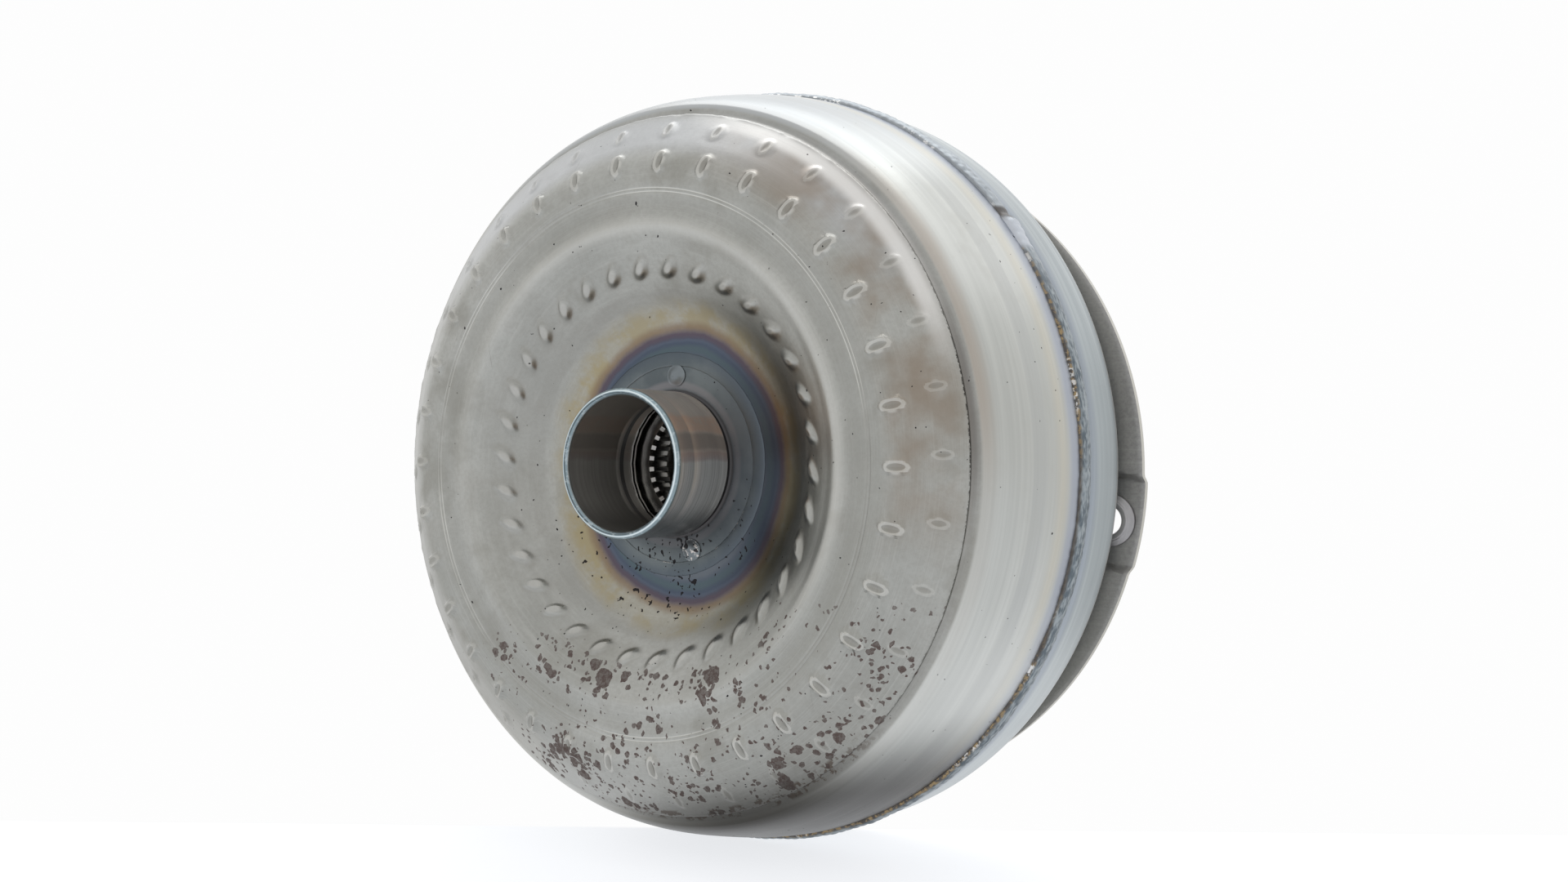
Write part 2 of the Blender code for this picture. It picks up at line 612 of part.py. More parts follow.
def plate_edge_radius(angle_deg):
    """Rim of the drive plate: one arc per lobe, each about a centre moved out along the lobe."""
    sector = 360.0 / PLATE_LOBE_COUNT
    turn = (angle_deg - PLATE_LOBE_ANGLE + sector / 2) % sector - sector / 2
    turn = math.radians(turn)
    across = PLATE_LOBE_OFFSET * math.sin(turn)
    return PLATE_LOBE_OFFSET * math.cos(turn) + math.sqrt(PLATE_LOBE_ARC_RADIUS**2 - across**2)


def drive_plate(finish):
    """Lobed ring whose bolt pads are pressed out towards the engine between straight creases."""
    sector = 360.0 / PLATE_LOBE_COUNT
    flat = math.degrees(math.asin(PAD_WIDTH / 2 / BOLT_CIRCLE_RADIUS))
    crease = math.degrees(PAD_CREASE / BOLT_CIRCLE_RADIUS)
    run_start = flat + crease
    local = [-flat, 0.0, flat] + list(np.linspace(run_start, sector - run_start, PLATE_EDGE_STEPS))
    angles = [PAD_ANGLE + sector * k + turn for k in range(PLATE_LOBE_COUNT) for turn in local]
    rows = [PLATE_INNER_RADIUS, PAD_INNER_RADIUS - 2 * PAD_CREASE, PAD_INNER_RADIUS, None]
    bm = bmesh.new()
    sheets = []
    for side in (0.0, PLATE_THICKNESS):
        sheet = []
        for index, angle in enumerate(angles):
            on_pad = index % len(local) < 3
            line = []
            for row, radius in enumerate(rows):
                rise = PAD_RISE if on_pad and row >= 2 else 0.0
                reach = plate_edge_radius(angle) if radius is None else radius
                line.append(bm.verts.new(polar(reach, angle, PLATE_STATION + side + rise)))
            sheet.append(line)
        sheets.append(sheet)
    count = len(angles)
    for i in range(count):
        j = (i + 1) % count
        for sheet in sheets:
            for row in range(len(rows) - 1):
                bm.faces.new((sheet[i][row], sheet[j][row], sheet[j][row + 1], sheet[i][row + 1]))
        for row in (0, -1):
            bm.faces.new((sheets[0][i][row], sheets[0][j][row], sheets[1][j][row], sheets[1][i][row]))
    bmesh.ops.triangulate(bm, faces=bm.faces)
    plate = link("drive_plate", mesh_from(bm, "drive_plate"), finish)
    places = [(BOLT_CIRCLE_RADIUS, angle) for angle in even_angles(PLATE_LOBE_COUNT, PAD_ANGLE)]
    hole = NUT_BARREL_RADIUS + SEAT_GAP
    ends = [(hole, PLATE_STATION - PLATE_HOLE_REACH), (hole, PLATE_STATION + PLATE_HOLE_REACH)]
    apply_boolean(plate, tool(bars_mesh("plate_holes", places, ends, NUT_SEGMENTS)), "DIFFERENCE")
    return plate


def plate_nuts(finish):
    """Flanged nuts pressed into the pads from the gearbox side, with a coned collar."""
    pad = PLATE_STATION + PAD_RISE
    collar = pad - SEAT_GAP
    top = collar - NUT_FLANGE_THICKNESS
    outline = [
        (NUT_THREAD_RADIUS, top),
        (NUT_BARREL_RADIUS, top),
        (NUT_FLANGE_RADIUS, top + NUT_CONE_HEIGHT),
        (NUT_FLANGE_RADIUS, collar),
        (NUT_BARREL_RADIUS, collar),
        (NUT_BARREL_RADIUS, pad + PLATE_THICKNESS),
        (NUT_THREAD_RADIUS, pad + PLATE_THICKNESS),
    ]
    nuts = []
    for number, angle in enumerate(even_angles(PLATE_LOBE_COUNT, PAD_ANGLE), start=1):
        mesh = turned_mesh(f"plate_nut_{number}", outline, NUT_SEGMENTS)
        x, _, z = polar(BOLT_CIRCLE_RADIUS, angle, 0.0)
        nut = link(f"plate_nut_{number}", mesh, finish)
        nut.location = (x, 0.0, z)
        nuts.append(nut)
    return nuts


# Fluid circuit


def core_arc(side, inset):
    """Half of the core ring's section, from the outer edge inwards; side is -1 or +1."""
    middle = MIDPLANE_STATION + side * WHEEL_GAP / 2
    turn = np.linspace(0.0, math.pi, CORE_STEPS + 1)
    radius = CORE_CENTRE_RADIUS + (CORE_HALF_WIDTH - inset) * np.cos(turn)
    station = middle + side * (CORE_HALF_DEPTH - inset) * np.sin(turn)
    return np.stack([radius, station], axis=1)


def wheel_mesh(name, side, shell_edge, count, sweep_deg):
    """Core ring with its blades, in one skin as brazing joins them.

    Each blade stands on the ring between two lines half its thickness to either side and reaches
    out to the shell's edge curve. It turns round the axis with the square of the way along the
    flow, by the sweep in all; the ring's own lines turn with it. The ring goes on one step past
    the blades' inner end.
    """
    outer = core_arc(side, 0.0)
    inner = core_arc(side, CORE_WALL)
    tips = resample(shell_edge, CORE_STEPS)
    way = np.minimum(np.arange(CORE_STEPS + 1) / (CORE_STEPS - 1), 1.0)
    lean = np.radians(sweep_deg) * way**2
    bm = bmesh.new()

    def line(curve, start, thickness_side):
        made = []
        for (radius, station), turn in zip(curve, lean):
            angle = start + turn + thickness_side * BLADE_THICKNESS / 2 / radius
            made.append(bm.verts.new((
                radius * math.cos(angle), y_of(station), -radius * math.sin(angle)
            )))
        return made

    def strip(one, other, first=0, last=None):
        for i in range(first, len(one) - 1 if last is None else last):
            bm.faces.new((one[i], other[i], other[i + 1]))
            bm.faces.new((one[i], other[i + 1], one[i + 1]))

    starts = np.arange(count) * 2 * math.pi / count
    blades = [
        {"left": line(outer, a, -1), "right": line(outer, a, 1), "inner": line(inner, a, 0),
         "left_tip": line(tips, a, -1), "right_tip": line(tips, a, 1)}
        for a in starts
    ]
    for blade, following in zip(blades, blades[1:] + blades[:1]):
        left, right, lining = blade["left"], blade["right"], blade["inner"]
        left_tip, right_tip = blade["left_tip"], blade["right_tip"]
        strip(right, following["left"])
        strip(lining, following["inner"])
        strip(left_tip, right_tip)
        strip(left, left_tip, last=CORE_STEPS - 1)
        strip(right, right_tip, last=CORE_STEPS - 1)
        strip(left, right, first=CORE_STEPS - 1)
        for end in (0, CORE_STEPS - 1):
            bm.faces.new((left[end], right[end], right_tip[end], left_tip[end]))
        for end in (0, CORE_STEPS):
            bm.faces.new((left[end], right[end], lining[end]))
            bm.faces.new((right[end], following["left"][end], following["inner"][end], lining[end]))
    return mesh_from(bm, name)


def trimmed(curve, keep):
    return np.array([point for point in curve if keep(*point)])


def impeller_wheel(finish):
    edge = MIDPLANE_STATION - WHEEL_GAP / 2
    curve = resample(shell_inside(BLADE_GAP), EDGE_SAMPLES)
    curve = trimmed(curve, lambda radius, station: radius > IMPELLER_INLET_RADIUS and station < edge)
    curve[:, 0] = np.minimum(curve[:, 0], turbine_radius() - TURBINE_SHELL_WALL)
    mesh = wheel_mesh("impeller_wheel", -1, curve[::-1], IMPELLER_BLADES, IMPELLER_SWEEP)
    return link("impeller_wheel", mesh, finish)


def turbine_radius():
    """Rim of the turbine: a clearance inside the impeller shell, level with the turbine's lip."""
    inside = shell_inside(TURBINE_EDGE_GAP)
    rising = inside[inside[:, 1].argmin():]
    return float(np.interp(TURBINE_LIP_STATION, rising[:, 1], rising[:, 0]))


def turbine_shell_curve():
    """Outer line of the turbine shell, from its lip over the crest to its seat on the hub."""
    turn = np.radians(np.linspace(0.0, 90.0, 5))
    outer = np.stack([
        CORE_CENTRE_RADIUS + (turbine_radius() - CORE_CENTRE_RADIUS) * np.cos(turn),
        TURBINE_LIP_STATION + TURBINE_DEPTH * np.sin(turn),
    ], axis=1)
    way = np.linspace(0.25, 1.0, 4)
    foot = TURBINE_HUB_FLANGE_RADIUS + TURBINE_FOOT_WIDTH
    fall = (TURBINE_CREST_STATION - TURBINE_SEAT_STATION) * (1 + np.cos(math.pi * way)) / 2
    inner = np.stack([
        CORE_CENTRE_RADIUS + (foot - CORE_CENTRE_RADIUS) * way, TURBINE_SEAT_STATION + fall
    ], axis=1)
    return np.vstack([outer, inner, [[TURBINE_SEAT_RADIUS, TURBINE_SEAT_STATION]]])


def turbine_shell(finish):
    curve = turbine_shell_curve()
    inside = offset(curve, TURBINE_SHELL_WALL)
    inside[0, 1] = curve[0, 1]
    outline = [tuple(point) for point in np.vstack([curve, inside[::-1]])]
    shell = turned("turbine_shell", outline, finish, TURBINE_BLADES)
    cut_rivet_holes(shell)
    return shell


def turbine_wheel(finish):
    lip = TURBINE_LIP_STATION
    curve = resample(offset(turbine_shell_curve(), TURBINE_SHELL_WALL + BLADE_GAP), EDGE_SAMPLES)
    curve = trimmed(curve, lambda radius, station: radius > TURBINE_OUTLET_RADIUS and station > lip)
    mesh = wheel_mesh("turbine_wheel", 1, curve, TURBINE_BLADES, TURBINE_SWEEP)
    return link("turbine_wheel", mesh, finish)


def stator_wheel(finish):
    """Cast wheel: hub, aerofoil blades and outer ring in one piece."""
    middle = CLUTCH_MIDDLE_STATION
    bore = CAM_OUTER_RADIUS + SEAT_GAP
    start = CLUTCH_STATION - CAP_THICKNESS - SEAT_GAP
    end = FRONT_BEARING_STATION + SNAP_RING_THICKNESS
    hub_outline = ring_outline(bore, STATOR_HUB_RADIUS, start, end)
    wheel_piece = turned("stator_wheel", hub_outline, finish)
    ring = ring_outline(STATOR_RING_RADIUS - STATOR_RING_WALL, STATOR_RING_RADIUS,
                        middle - STATOR_RING_WIDTH / 2, middle + STATOR_RING_WIDTH / 2)
    apply_boolean(wheel_piece, tool(stator_blades_mesh(middle)), "UNION")
    apply_boolean(wheel_piece, tool(turned_mesh("stator_ring", ring, INNER_SEGMENTS)), "UNION")
    return wheel_piece


def stator_blades_mesh(middle):
    """Aerofoils along the radius: thickness falls off from a round nose to a thin tail."""
    bm = bmesh.new()
    way = np.array([0.0, 0.12, 0.4, 0.75, 1.0])
    half = STATOR_BLADE_THICKNESS * np.array([0.12, 0.42, 0.5, 0.3, 0.1])
    camber = 0.12 * STATOR_BLADE_CHORD * np.sin(math.pi * way)
    along = (way - 0.5) * STATOR_BLADE_CHORD
    section = np.vstack([
        np.stack([along, camber + half], axis=1), np.stack([along, camber - half], axis=1)[::-1]
    ])
    lean = math.radians(STATOR_BLADE_ANGLE)
    axial = section[:, 0] * math.cos(lean) - section[:, 1] * math.sin(lean)
    round_way = section[:, 0] * math.sin(lean) + section[:, 1] * math.cos(lean)
    low = STATOR_HUB_RADIUS - STATOR_BLADE_ROOT
    high = STATOR_RING_RADIUS - STATOR_RING_WALL / 2
    for angle in even_angles(STATOR_BLADES):
        turn = Matrix.Rotation(math.radians(angle), 3, "Y")
        loops = []
        for radius in (low, high):
            loops.append([
                bm.verts.new(turn @ Vector((radius, y_of(middle + a), r)))
                for a, r in zip(axial, round_way)
            ])
        bm.faces.new(loops[0])
        bm.faces.new(loops[1])
        count = len(section)
        for i in range(count):
            j = (i + 1) % count
            bm.faces.new((loops[0][i], loops[0][j], loops[1][j], loops[1][i]))
    return mesh_from(bm, "stator_blades")


# One-way clutch and thrust bearings


def clutch_inner_race(finish):
    """Race on the fixed shaft of the gearbox, with a splined bore."""
    angles, bore = tooth_outline(INNER_RACE_BORE, INNER_RACE_BORE + SPLINE_DEPTH, INNER_RACE_TEETH)
    mesh = prism_mesh("clutch_inner_race", bore, INNER_RACE_RADIUS, angles,
                      CLUTCH_STATION, CLUTCH_END_STATION)
    return link("clutch_inner_race", mesh, finish)


def clutch_cam(finish):
    """Outer race whose pockets fall towards one side, so that rollers wedge one way only."""
    middle = ROLLER_OUTSIDE + 2 * SEAT_GAP
    land = INNER_RACE_RADIUS + SEAT_GAP + 1.6 * ROLLER_RADIUS
    pitch = 360.0 / ROLLER_COUNT
    turns = np.array([-10.5, -9.0, 0.0, 9.0, 10.5, pitch / 2])
    radii = np.array([
        land, middle + CAM_RAMP_DEPTH / 2, middle, middle - CAM_RAMP_DEPTH / 2, land, land
    ])
    angles = np.concatenate([turns + pitch * k for k in range(ROLLER_COUNT)])
    mesh = prism_mesh("clutch_cam", np.tile(radii, ROLLER_COUNT), CAM_OUTER_RADIUS - SEAT_GAP,
                      angles, CLUTCH_STATION, CLUTCH_END_STATION)
    return link("clutch_cam", mesh, finish)


def clutch_rollers(cage_finish, roller_finish):
    place = INNER_RACE_RADIUS + SEAT_GAP + ROLLER_RADIUS
    middle = CLUTCH_MIDDLE_STATION
    half = ROLLER_LENGTH / 2
    cage_inside = INNER_RACE_RADIUS + 2 * SEAT_GAP
    cage_outside = cage_inside + CAGE_WALL
    cage = turned("clutch_cage", ring_outline(cage_inside, cage_outside, CLUTCH_STATION + SEAT_GAP,
                                              CLUTCH_END_STATION - SEAT_GAP), cage_finish)
    windows = blocks_mesh("cage_windows", even_angles(ROLLER_COUNT),
                          (cage_inside - CUT_MARGIN, cage_outside + CUT_MARGIN),
                          2 * (ROLLER_RADIUS + SEAT_GAP),
                          (middle - half - SEAT_GAP, middle + half + SEAT_GAP))
    apply_boolean(cage, tool(windows), "DIFFERENCE")
    for number, angle in enumerate(even_angles(ROLLER_COUNT), start=1):
        name = f"clutch_roller_{number}"
        ends = [(ROLLER_RADIUS, middle - half), (ROLLER_RADIUS, middle + half)]
        link(name, bars_mesh(name, [(place, angle)], ends), roller_finish)


def clutch_caps(finish, spring_finish):
    """Side plates that keep the rollers in, and the split ring that keeps the front one in."""
    inside = INNER_RACE_RADIUS + 5 * SEAT_GAP
    rear = CLUTCH_STATION - SEAT_GAP - CAP_THICKNESS
    front = CLUTCH_END_STATION + SEAT_GAP
    turned("stator_rear_cap", ring_outline(inside, CAM_OUTER_RADIUS, rear, rear + CAP_THICKNESS),
           finish)
    turned("stator_front_cap", ring_outline(inside, CAM_OUTER_RADIUS, front, front + CAP_THICKNESS),
           finish)
    start = front + CAP_THICKNESS + SEAT_GAP
    ring = turned("stator_snap_ring",
                  ring_outline(CAM_OUTER_RADIUS - SNAP_RING_WIDTH, CAM_OUTER_RADIUS,
                               start, start + SNAP_RING_THICKNESS), spring_finish)
    opening = blocks_mesh("snap_ring_opening", [90.0],
                          (CAM_OUTER_RADIUS - 3 * SNAP_RING_WIDTH, CAM_OUTER_RADIUS + CUT_MARGIN),
                          SNAP_RING_OPENING,
                          (start - CUT_MARGIN, start + SNAP_RING_THICKNESS + CUT_MARGIN))
    apply_boolean(ring, tool(opening), "DIFFERENCE")


def thrust_bearing(label, start, race_finish, cage_finish):
    """Two flat washers with a cage of radial needles between them."""
    for side, station in (
        ("rear", start), ("front", start + BEARING_HEIGHT - BEARING_RACE_THICKNESS)
    ):
        turned(f"{label}_bearing_{side}_race",
               ring_outline(BEARING_INNER_RADIUS, BEARING_OUTER_RADIUS,
                            station, station + BEARING_RACE_THICKNESS), race_finish)
    middle = start + BEARING_HEIGHT / 2
    half = NEEDLE_CAGE_THICKNESS / 2
    cage = turned(f"{label}_bearing_needles",
                  ring_outline(BEARING_INNER_RADIUS + SEAT_GAP, BEARING_OUTER_RADIUS - SEAT_GAP,
                               middle - half, middle + half), cage_finish)
    apply_boolean(cage, tool(needles_mesh(middle)), "UNION")


def needles_mesh(middle):
    bm = bmesh.new()
    centre = (BEARING_INNER_RADIUS + BEARING_OUTER_RADIUS) / 2
    for angle in even_angles(NEEDLE_COUNT):
        needle = bmesh.ops.create_cone(bm, cap_ends=True, segments=NEEDLE_SEGMENTS,
                                       radius1=NEEDLE_RADIUS, radius2=NEEDLE_RADIUS,
                                       depth=NEEDLE_LENGTH)["verts"]
        bmesh.ops.rotate(bm, verts=needle, cent=(0, 0, 0), matrix=Matrix.Rotation(math.pi / 2, 3, "Y"))
        bmesh.ops.translate(bm, verts=needle, vec=(centre, y_of(middle), 0.0))
        turn = Matrix.Rotation(math.radians(angle), 3, "Y")
        bmesh.ops.rotate(bm, verts=needle, cent=(0, 0, 0), matrix=turn)
    return mesh_from(bm, "needles")


# Turbine hub


def cut_rivet_holes(piece):
    places = [(RIVET_CIRCLE_RADIUS, a) for a in even_angles(RIVET_COUNT, RIVET_START_ANGLE)]
    hole = RIVET_SHANK_RADIUS + SEAT_GAP
    ends = [(hole, TURBINE_SEAT_STATION - RIVET_HOLE_REACH),
            (hole, TURBINE_SEAT_STATION + RIVET_HOLE_REACH)]
    apply_boolean(piece, tool(bars_mesh("rivet_holes", places, ends, RIVET_SEGMENTS)), "DIFFERENCE")


def turbine_hub(finish):
    flange = TURBINE_SEAT_STATION + SEAT_GAP
    flange_end = flange + TURBINE_HUB_FLANGE_THICKNESS
    plate_seat = DAMPER_STATION - HUB_PLATE_THICKNESS / 2 - SEAT_GAP
    plate_end = HUB_PLATE_END_STATION
    shoulder = TURBINE_HUB_RADIUS + TURBINE_HUB_SHOULDER
    groove = seal_station() - SEAT_GAP
    groove_end = groove + SEAL_WIDTH + 2 * SEAT_GAP
    bore = TURBINE_HUB_BORE
    boss = TURBINE_SEAT_RADIUS - SEAT_GAP
    outline = [
        (bore, TURBINE_HUB_STATION), (boss, TURBINE_HUB_STATION), (boss, flange),
        (TURBINE_HUB_FLANGE_RADIUS, flange), (TURBINE_HUB_FLANGE_RADIUS, flange_end),
        (shoulder, flange_end), (shoulder, plate_seat), (TURBINE_HUB_RADIUS, plate_seat),
        (TURBINE_HUB_RADIUS, plate_end), (TURBINE_HUB_NECK, plate_end),
        (TURBINE_HUB_NECK, groove), (TURBINE_HUB_NECK - SEAL_DEPTH, groove),
        (TURBINE_HUB_NECK - SEAL_DEPTH, groove_end), (TURBINE_HUB_NECK, groove_end),
        (TURBINE_HUB_NECK, TURBINE_HUB_END), (bore, TURBINE_HUB_END),
    ]
    hub = turned("turbine_hub", outline, finish)
    cut_rivet_holes(hub)
    teeth = blocks_mesh("hub_teeth", even_angles(TURBINE_HUB_TEETH),
                        (bore - SPLINE_DEPTH, bore + SPLINE_DEPTH), bore * math.pi / TURBINE_HUB_TEETH,
                        (TURBINE_HUB_STATION + TURBINE_TEETH_INSET,
                         TURBINE_HUB_END - TURBINE_TEETH_INSET))
    apply_boolean(hub, tool(teeth), "UNION")
    return hub


def seal_station():
    """Rear face of the ring that seals the piston's collar on the turbine hub."""
    return PISTON_STATION - 2 * SEAL_WIDTH + SEAL_WIDTH / 4


def turbine_fittings(rivet_finish, seal_finish, washer_finish):
    shell_face = TURBINE_SEAT_STATION - TURBINE_SHELL_WALL - SEAT_GAP
    hub_face = TURBINE_SEAT_STATION + TURBINE_HUB_FLANGE_THICKNESS + 2 * SEAT_GAP
    profile = [
        (RIVET_HEAD_RADIUS * 0.7, shell_face - RIVET_HEAD_HEIGHT),
        (RIVET_HEAD_RADIUS, shell_face),
        (RIVET_SHANK_RADIUS, shell_face),
        (RIVET_SHANK_RADIUS, hub_face),
        (RIVET_HEAD_RADIUS, hub_face),
        (RIVET_HEAD_RADIUS * 0.7, hub_face + RIVET_HEAD_HEIGHT),
    ]
    for number, angle in enumerate(even_angles(RIVET_COUNT, RIVET_START_ANGLE), start=1):
        name = f"turbine_rivet_{number}"
        mesh = bars_mesh(name, [(RIVET_CIRCLE_RADIUS, angle)], profile, RIVET_SEGMENTS)
        link(name, mesh, rivet_finish)
    seal = seal_station()
    turned("piston_seal", ring_outline(TURBINE_HUB_NECK - SEAL_DEPTH + SEAT_GAP, TURBINE_HUB_NECK,
                                       seal, seal + SEAL_WIDTH), seal_finish)
    washer = TURBINE_HUB_END + SEAT_GAP
    turned("front_thrust_washer",
           ring_outline(TURBINE_HUB_BORE, TURBINE_HUB_NECK, washer, washer + THRUST_WASHER_THICKNESS),
           washer_finish)


# Torsional damper and lock-up piston


def spring_windows(half_height, half_length, start, end):
    """Cutters for one window per spring, square to the spring's own radius."""
    span = (SPRING_CIRCLE_RADIUS - half_height, SPRING_CIRCLE_RADIUS + half_height)
    mesh = blocks_mesh("spring_windows", even_angles(SPRING_COUNT), span, 2 * half_length,
                       (start - CUT_MARGIN, end + CUT_MARGIN))
    return tool(mesh)


def damper_hub_plate(finish):
    """Disc on the turbine hub that pushes on the spring ends."""
    start = DAMPER_STATION - HUB_PLATE_THICKNESS / 2
    end = start + HUB_PLATE_THICKNESS
    reach = DAMPER_RADIUS - DAMPER_RIM_WALL - 2 * DAMPER_PLATE_GAP
    plate = turned("damper_hub_plate",
                   ring_outline(TURBINE_HUB_RADIUS + SEAT_GAP, reach, start, end), finish)
    half = SPRING_REACH + DAMPER_PLATE_GAP
    cutter = spring_windows(half, SPRING_LENGTH / 2 + DAMPER_PLATE_GAP, start, end)
    apply_boolean(plate, cutter, "DIFFERENCE")
    return plate


def damper_housing(finish):
    """Two side plates and the rim between them; the front plate has tabs that drive the piston."""
    rear_inner = DAMPER_STATION - SPRING_REACH - DAMPER_PLATE_GAP
    front_inner = DAMPER_STATION + SPRING_REACH + DAMPER_PLATE_GAP
    spans = {
        "damper_rear_plate": (rear_inner - SIDE_PLATE_THICKNESS, rear_inner),
        "damper_front_plate": (front_inner, front_inner + SIDE_PLATE_THICKNESS),
    }
    for name, (start, end) in spans.items():
        plate = turned(name, ring_outline(SIDE_PLATE_INNER_RADIUS, DAMPER_RADIUS, start, end), finish)
        cutter = spring_windows(SPRING_RADIUS * 0.7, SPRING_LENGTH / 2, start, end)
        apply_boolean(plate, cutter, "DIFFERENCE")
        if name == "damper_front_plate":
            tabs = blocks_mesh("drive_tabs", even_angles(DRIVE_TAB_COUNT, DRIVE_TAB_START_ANGLE),
                               (DAMPER_RADIUS - DAMPER_RIM_WALL, PISTON_RADIUS - RUNNING_GAP),
                               DRIVE_TAB_WIDTH, (start, end))
            apply_boolean(plate, tool(tabs), "UNION")
    turned("damper_rim", ring_outline(DAMPER_RADIUS - DAMPER_RIM_WALL, DAMPER_RADIUS,
                                      rear_inner + SEAT_GAP, front_inner - SEAT_GAP), finish)


def spring_mesh(name, angle_deg):
    """Coil along the tangent at the spring circle, swept with a round wire."""
    steps = SPRING_TURNS * SPRING_STEPS_PER_TURN
    half = SPRING_LENGTH / 2 - SPRING_WIRE_RADIUS
    place = Matrix.Rotation(math.radians(angle_deg), 3, "Y")
    bm = bmesh.new()
    rings = []
    for i in range(steps + 1):
        turn = 2 * math.pi * i / SPRING_STEPS_PER_TURN
        along = -half + 2 * half * i / steps
        ring = []
        for k in range(SPRING_WIRE_SIDES):
            round_wire = 2 * math.pi * k / SPRING_WIRE_SIDES
            reach = SPRING_RADIUS + SPRING_WIRE_RADIUS * math.cos(round_wire)
            ring.append(bm.verts.new(place @ Vector((
                SPRING_CIRCLE_RADIUS + reach * math.cos(turn),
                y_of(DAMPER_STATION) + reach * math.sin(turn),
                along + SPRING_WIRE_RADIUS * math.sin(round_wire),
            ))))
        rings.append(ring)
    for low, high in zip(rings, rings[1:]):
        for k in range(SPRING_WIRE_SIDES):
            j = (k + 1) % SPRING_WIRE_SIDES
            bm.faces.new((low[k], low[j], high[j], high[k]))
    bm.faces.new(rings[0])
    bm.faces.new(rings[-1])
    return mesh_from(bm, name)


def damper_springs(finish):
    for number, angle in enumerate(even_angles(SPRING_COUNT), start=1):
        name = f"damper_spring_{number}"
        link(name, spring_mesh(name, angle), finish)


def lock_up_piston(finish, lining_finish):
    """Dished plate that slides on the turbine hub; its notched rim takes the damper's tabs."""
    front = PISTON_STATION + PISTON_WALL
    web = PISTON_STATION - PISTON_DISH
    collar_bore = TURBINE_HUB_NECK + SEAT_GAP
    collar = collar_bore + PISTON_WALL
    collar_start = HUB_PLATE_END_STATION + PISTON_COLLAR_GAP
    flat = LINING_INNER_RADIUS - LINING_EDGE
    rim_start = front - PISTON_RIM_DEPTH
    rim_inside = PISTON_RADIUS - PISTON_RIM_WALL
    outline = [
        (collar_bore, collar_start), (collar, collar_start), (collar, web),
        (flat - PISTON_DISH, web), (flat, PISTON_STATION), (rim_inside, PISTON_STATION),
        (rim_inside, rim_start), (PISTON_RADIUS, rim_start), (PISTON_RADIUS, front),
        (flat, front), (flat - PISTON_DISH, front - PISTON_DISH),
        (collar_bore, front - PISTON_DISH),
    ]
    piston = turned("lock_up_piston", outline, finish)
    tab_end = DAMPER_STATION + DAMPER_HALF_DEPTH
    notches = blocks_mesh("rim_notches", even_angles(DRIVE_TAB_COUNT, DRIVE_TAB_START_ANGLE),
                          (rim_inside - CUT_MARGIN, PISTON_RADIUS + CUT_MARGIN),
                          DRIVE_TAB_WIDTH + 2 * RUNNING_GAP,
                          (rim_start - CUT_MARGIN, tab_end + SEAT_GAP))
    apply_boolean(piston, tool(notches), "DIFFERENCE")
    turned("friction_lining", ring_outline(LINING_INNER_RADIUS, LINING_OUTER_RADIUS,
                                           LINING_STATION, LINING_STATION + LINING_THICKNESS),
           lining_finish)


# Assembly


def hang(child, carrier):
    """Parent a child that keeps its place, to an empty that stands unturned on the axis."""
    child.parent = carrier
    child.matrix_parent_inverse = Matrix.Translation(-carrier.location)


def hang_pieces():
    """Each body gets an empty on the axis; turning or sliding it moves all that it carries."""
    pieces = list(bpy.data.objects)
    empties = {}
    for name, (carrier, station) in BODIES.items():
        empties[name] = bpy.data.objects.new(name, None)
        bpy.context.scene.collection.objects.link(empties[name])
        empties[name].location = (0.0, y_of(station), 0.0)
        if carrier:
            hang(empties[name], empties[carrier])
    for piece in pieces:
        bodies = [name for name, starts in RIDERS.items() if piece.name.startswith(starts)]
        hang(piece, empties[bodies[0] if bodies else "housing"])


def main():
    clear_scene()
    steel = material("satin_steel", (0.33, 0.33, 0.30), 0.40, 0.95)
    bright = material("machined_steel", (0.52, 0.53, 0.53), 0.26, 1.0)
    dark = material("dark_steel", (0.11, 0.11, 0.11), 0.50, 0.80)
    weld = material("weld_metal", (0.16, 0.15, 0.13), 0.55, 0.85)
    cover = material("rolled_steel", (0.34, 0.36, 0.37), 0.38, 0.95)
    alloy = material("cast_alloy", (0.62, 0.62, 0.60), 0.48, 0.90)
    hardened = material("hardened_steel", (0.40, 0.39, 0.37), 0.22, 1.0)
    spring = material("spring_steel", (0.12, 0.13, 0.15), 0.35, 0.90)
    polymer = material("bearing_polymer", (0.035, 0.035, 0.04), 0.60, 0.0)
    lining = material("friction_paper", (0.13, 0.09, 0.06), 0.90, 0.0)

    impeller_shell(steel)
    pump_hub(bright)
    housing_welds(weld)
    front_cover(cover)
    crank_pilot(bright)
    drive_plate(dark)
    plate_nuts(bright)

    impeller_wheel(steel)
    turbine_shell(steel)
    turbine_wheel(steel)
    stator_wheel(alloy)

    clutch_inner_race(hardened)
    clutch_cam(hardened)
    clutch_rollers(polymer, hardened)
    clutch_caps(alloy, spring)
    thrust_bearing("rear", FLANGE_INNER_STATION + SEAT_GAP, hardened, bright)
    thrust_bearing("front", FRONT_BEARING_STATION, hardened, bright)

    turbine_hub(bright)
    turbine_fittings(bright, polymer, polymer)

    damper_hub_plate(dark)
    damper_housing(dark)
    damper_springs(spring)
    lock_up_piston(steel, lining)

    hang_pieces()


main()
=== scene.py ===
"""Looks of a torque converter that stands on its rim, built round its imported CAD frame.

The turning axis lies along Y, with the pump hub to -Y and the crank pilot to +Y. A station is a
distance from the hub's mouth towards +Y, and an angle round the axis starts at +X and turns
towards -Z, as seen from the hub's side. Outlines are in millimetres, meshes in metres.
"""

import json
import math

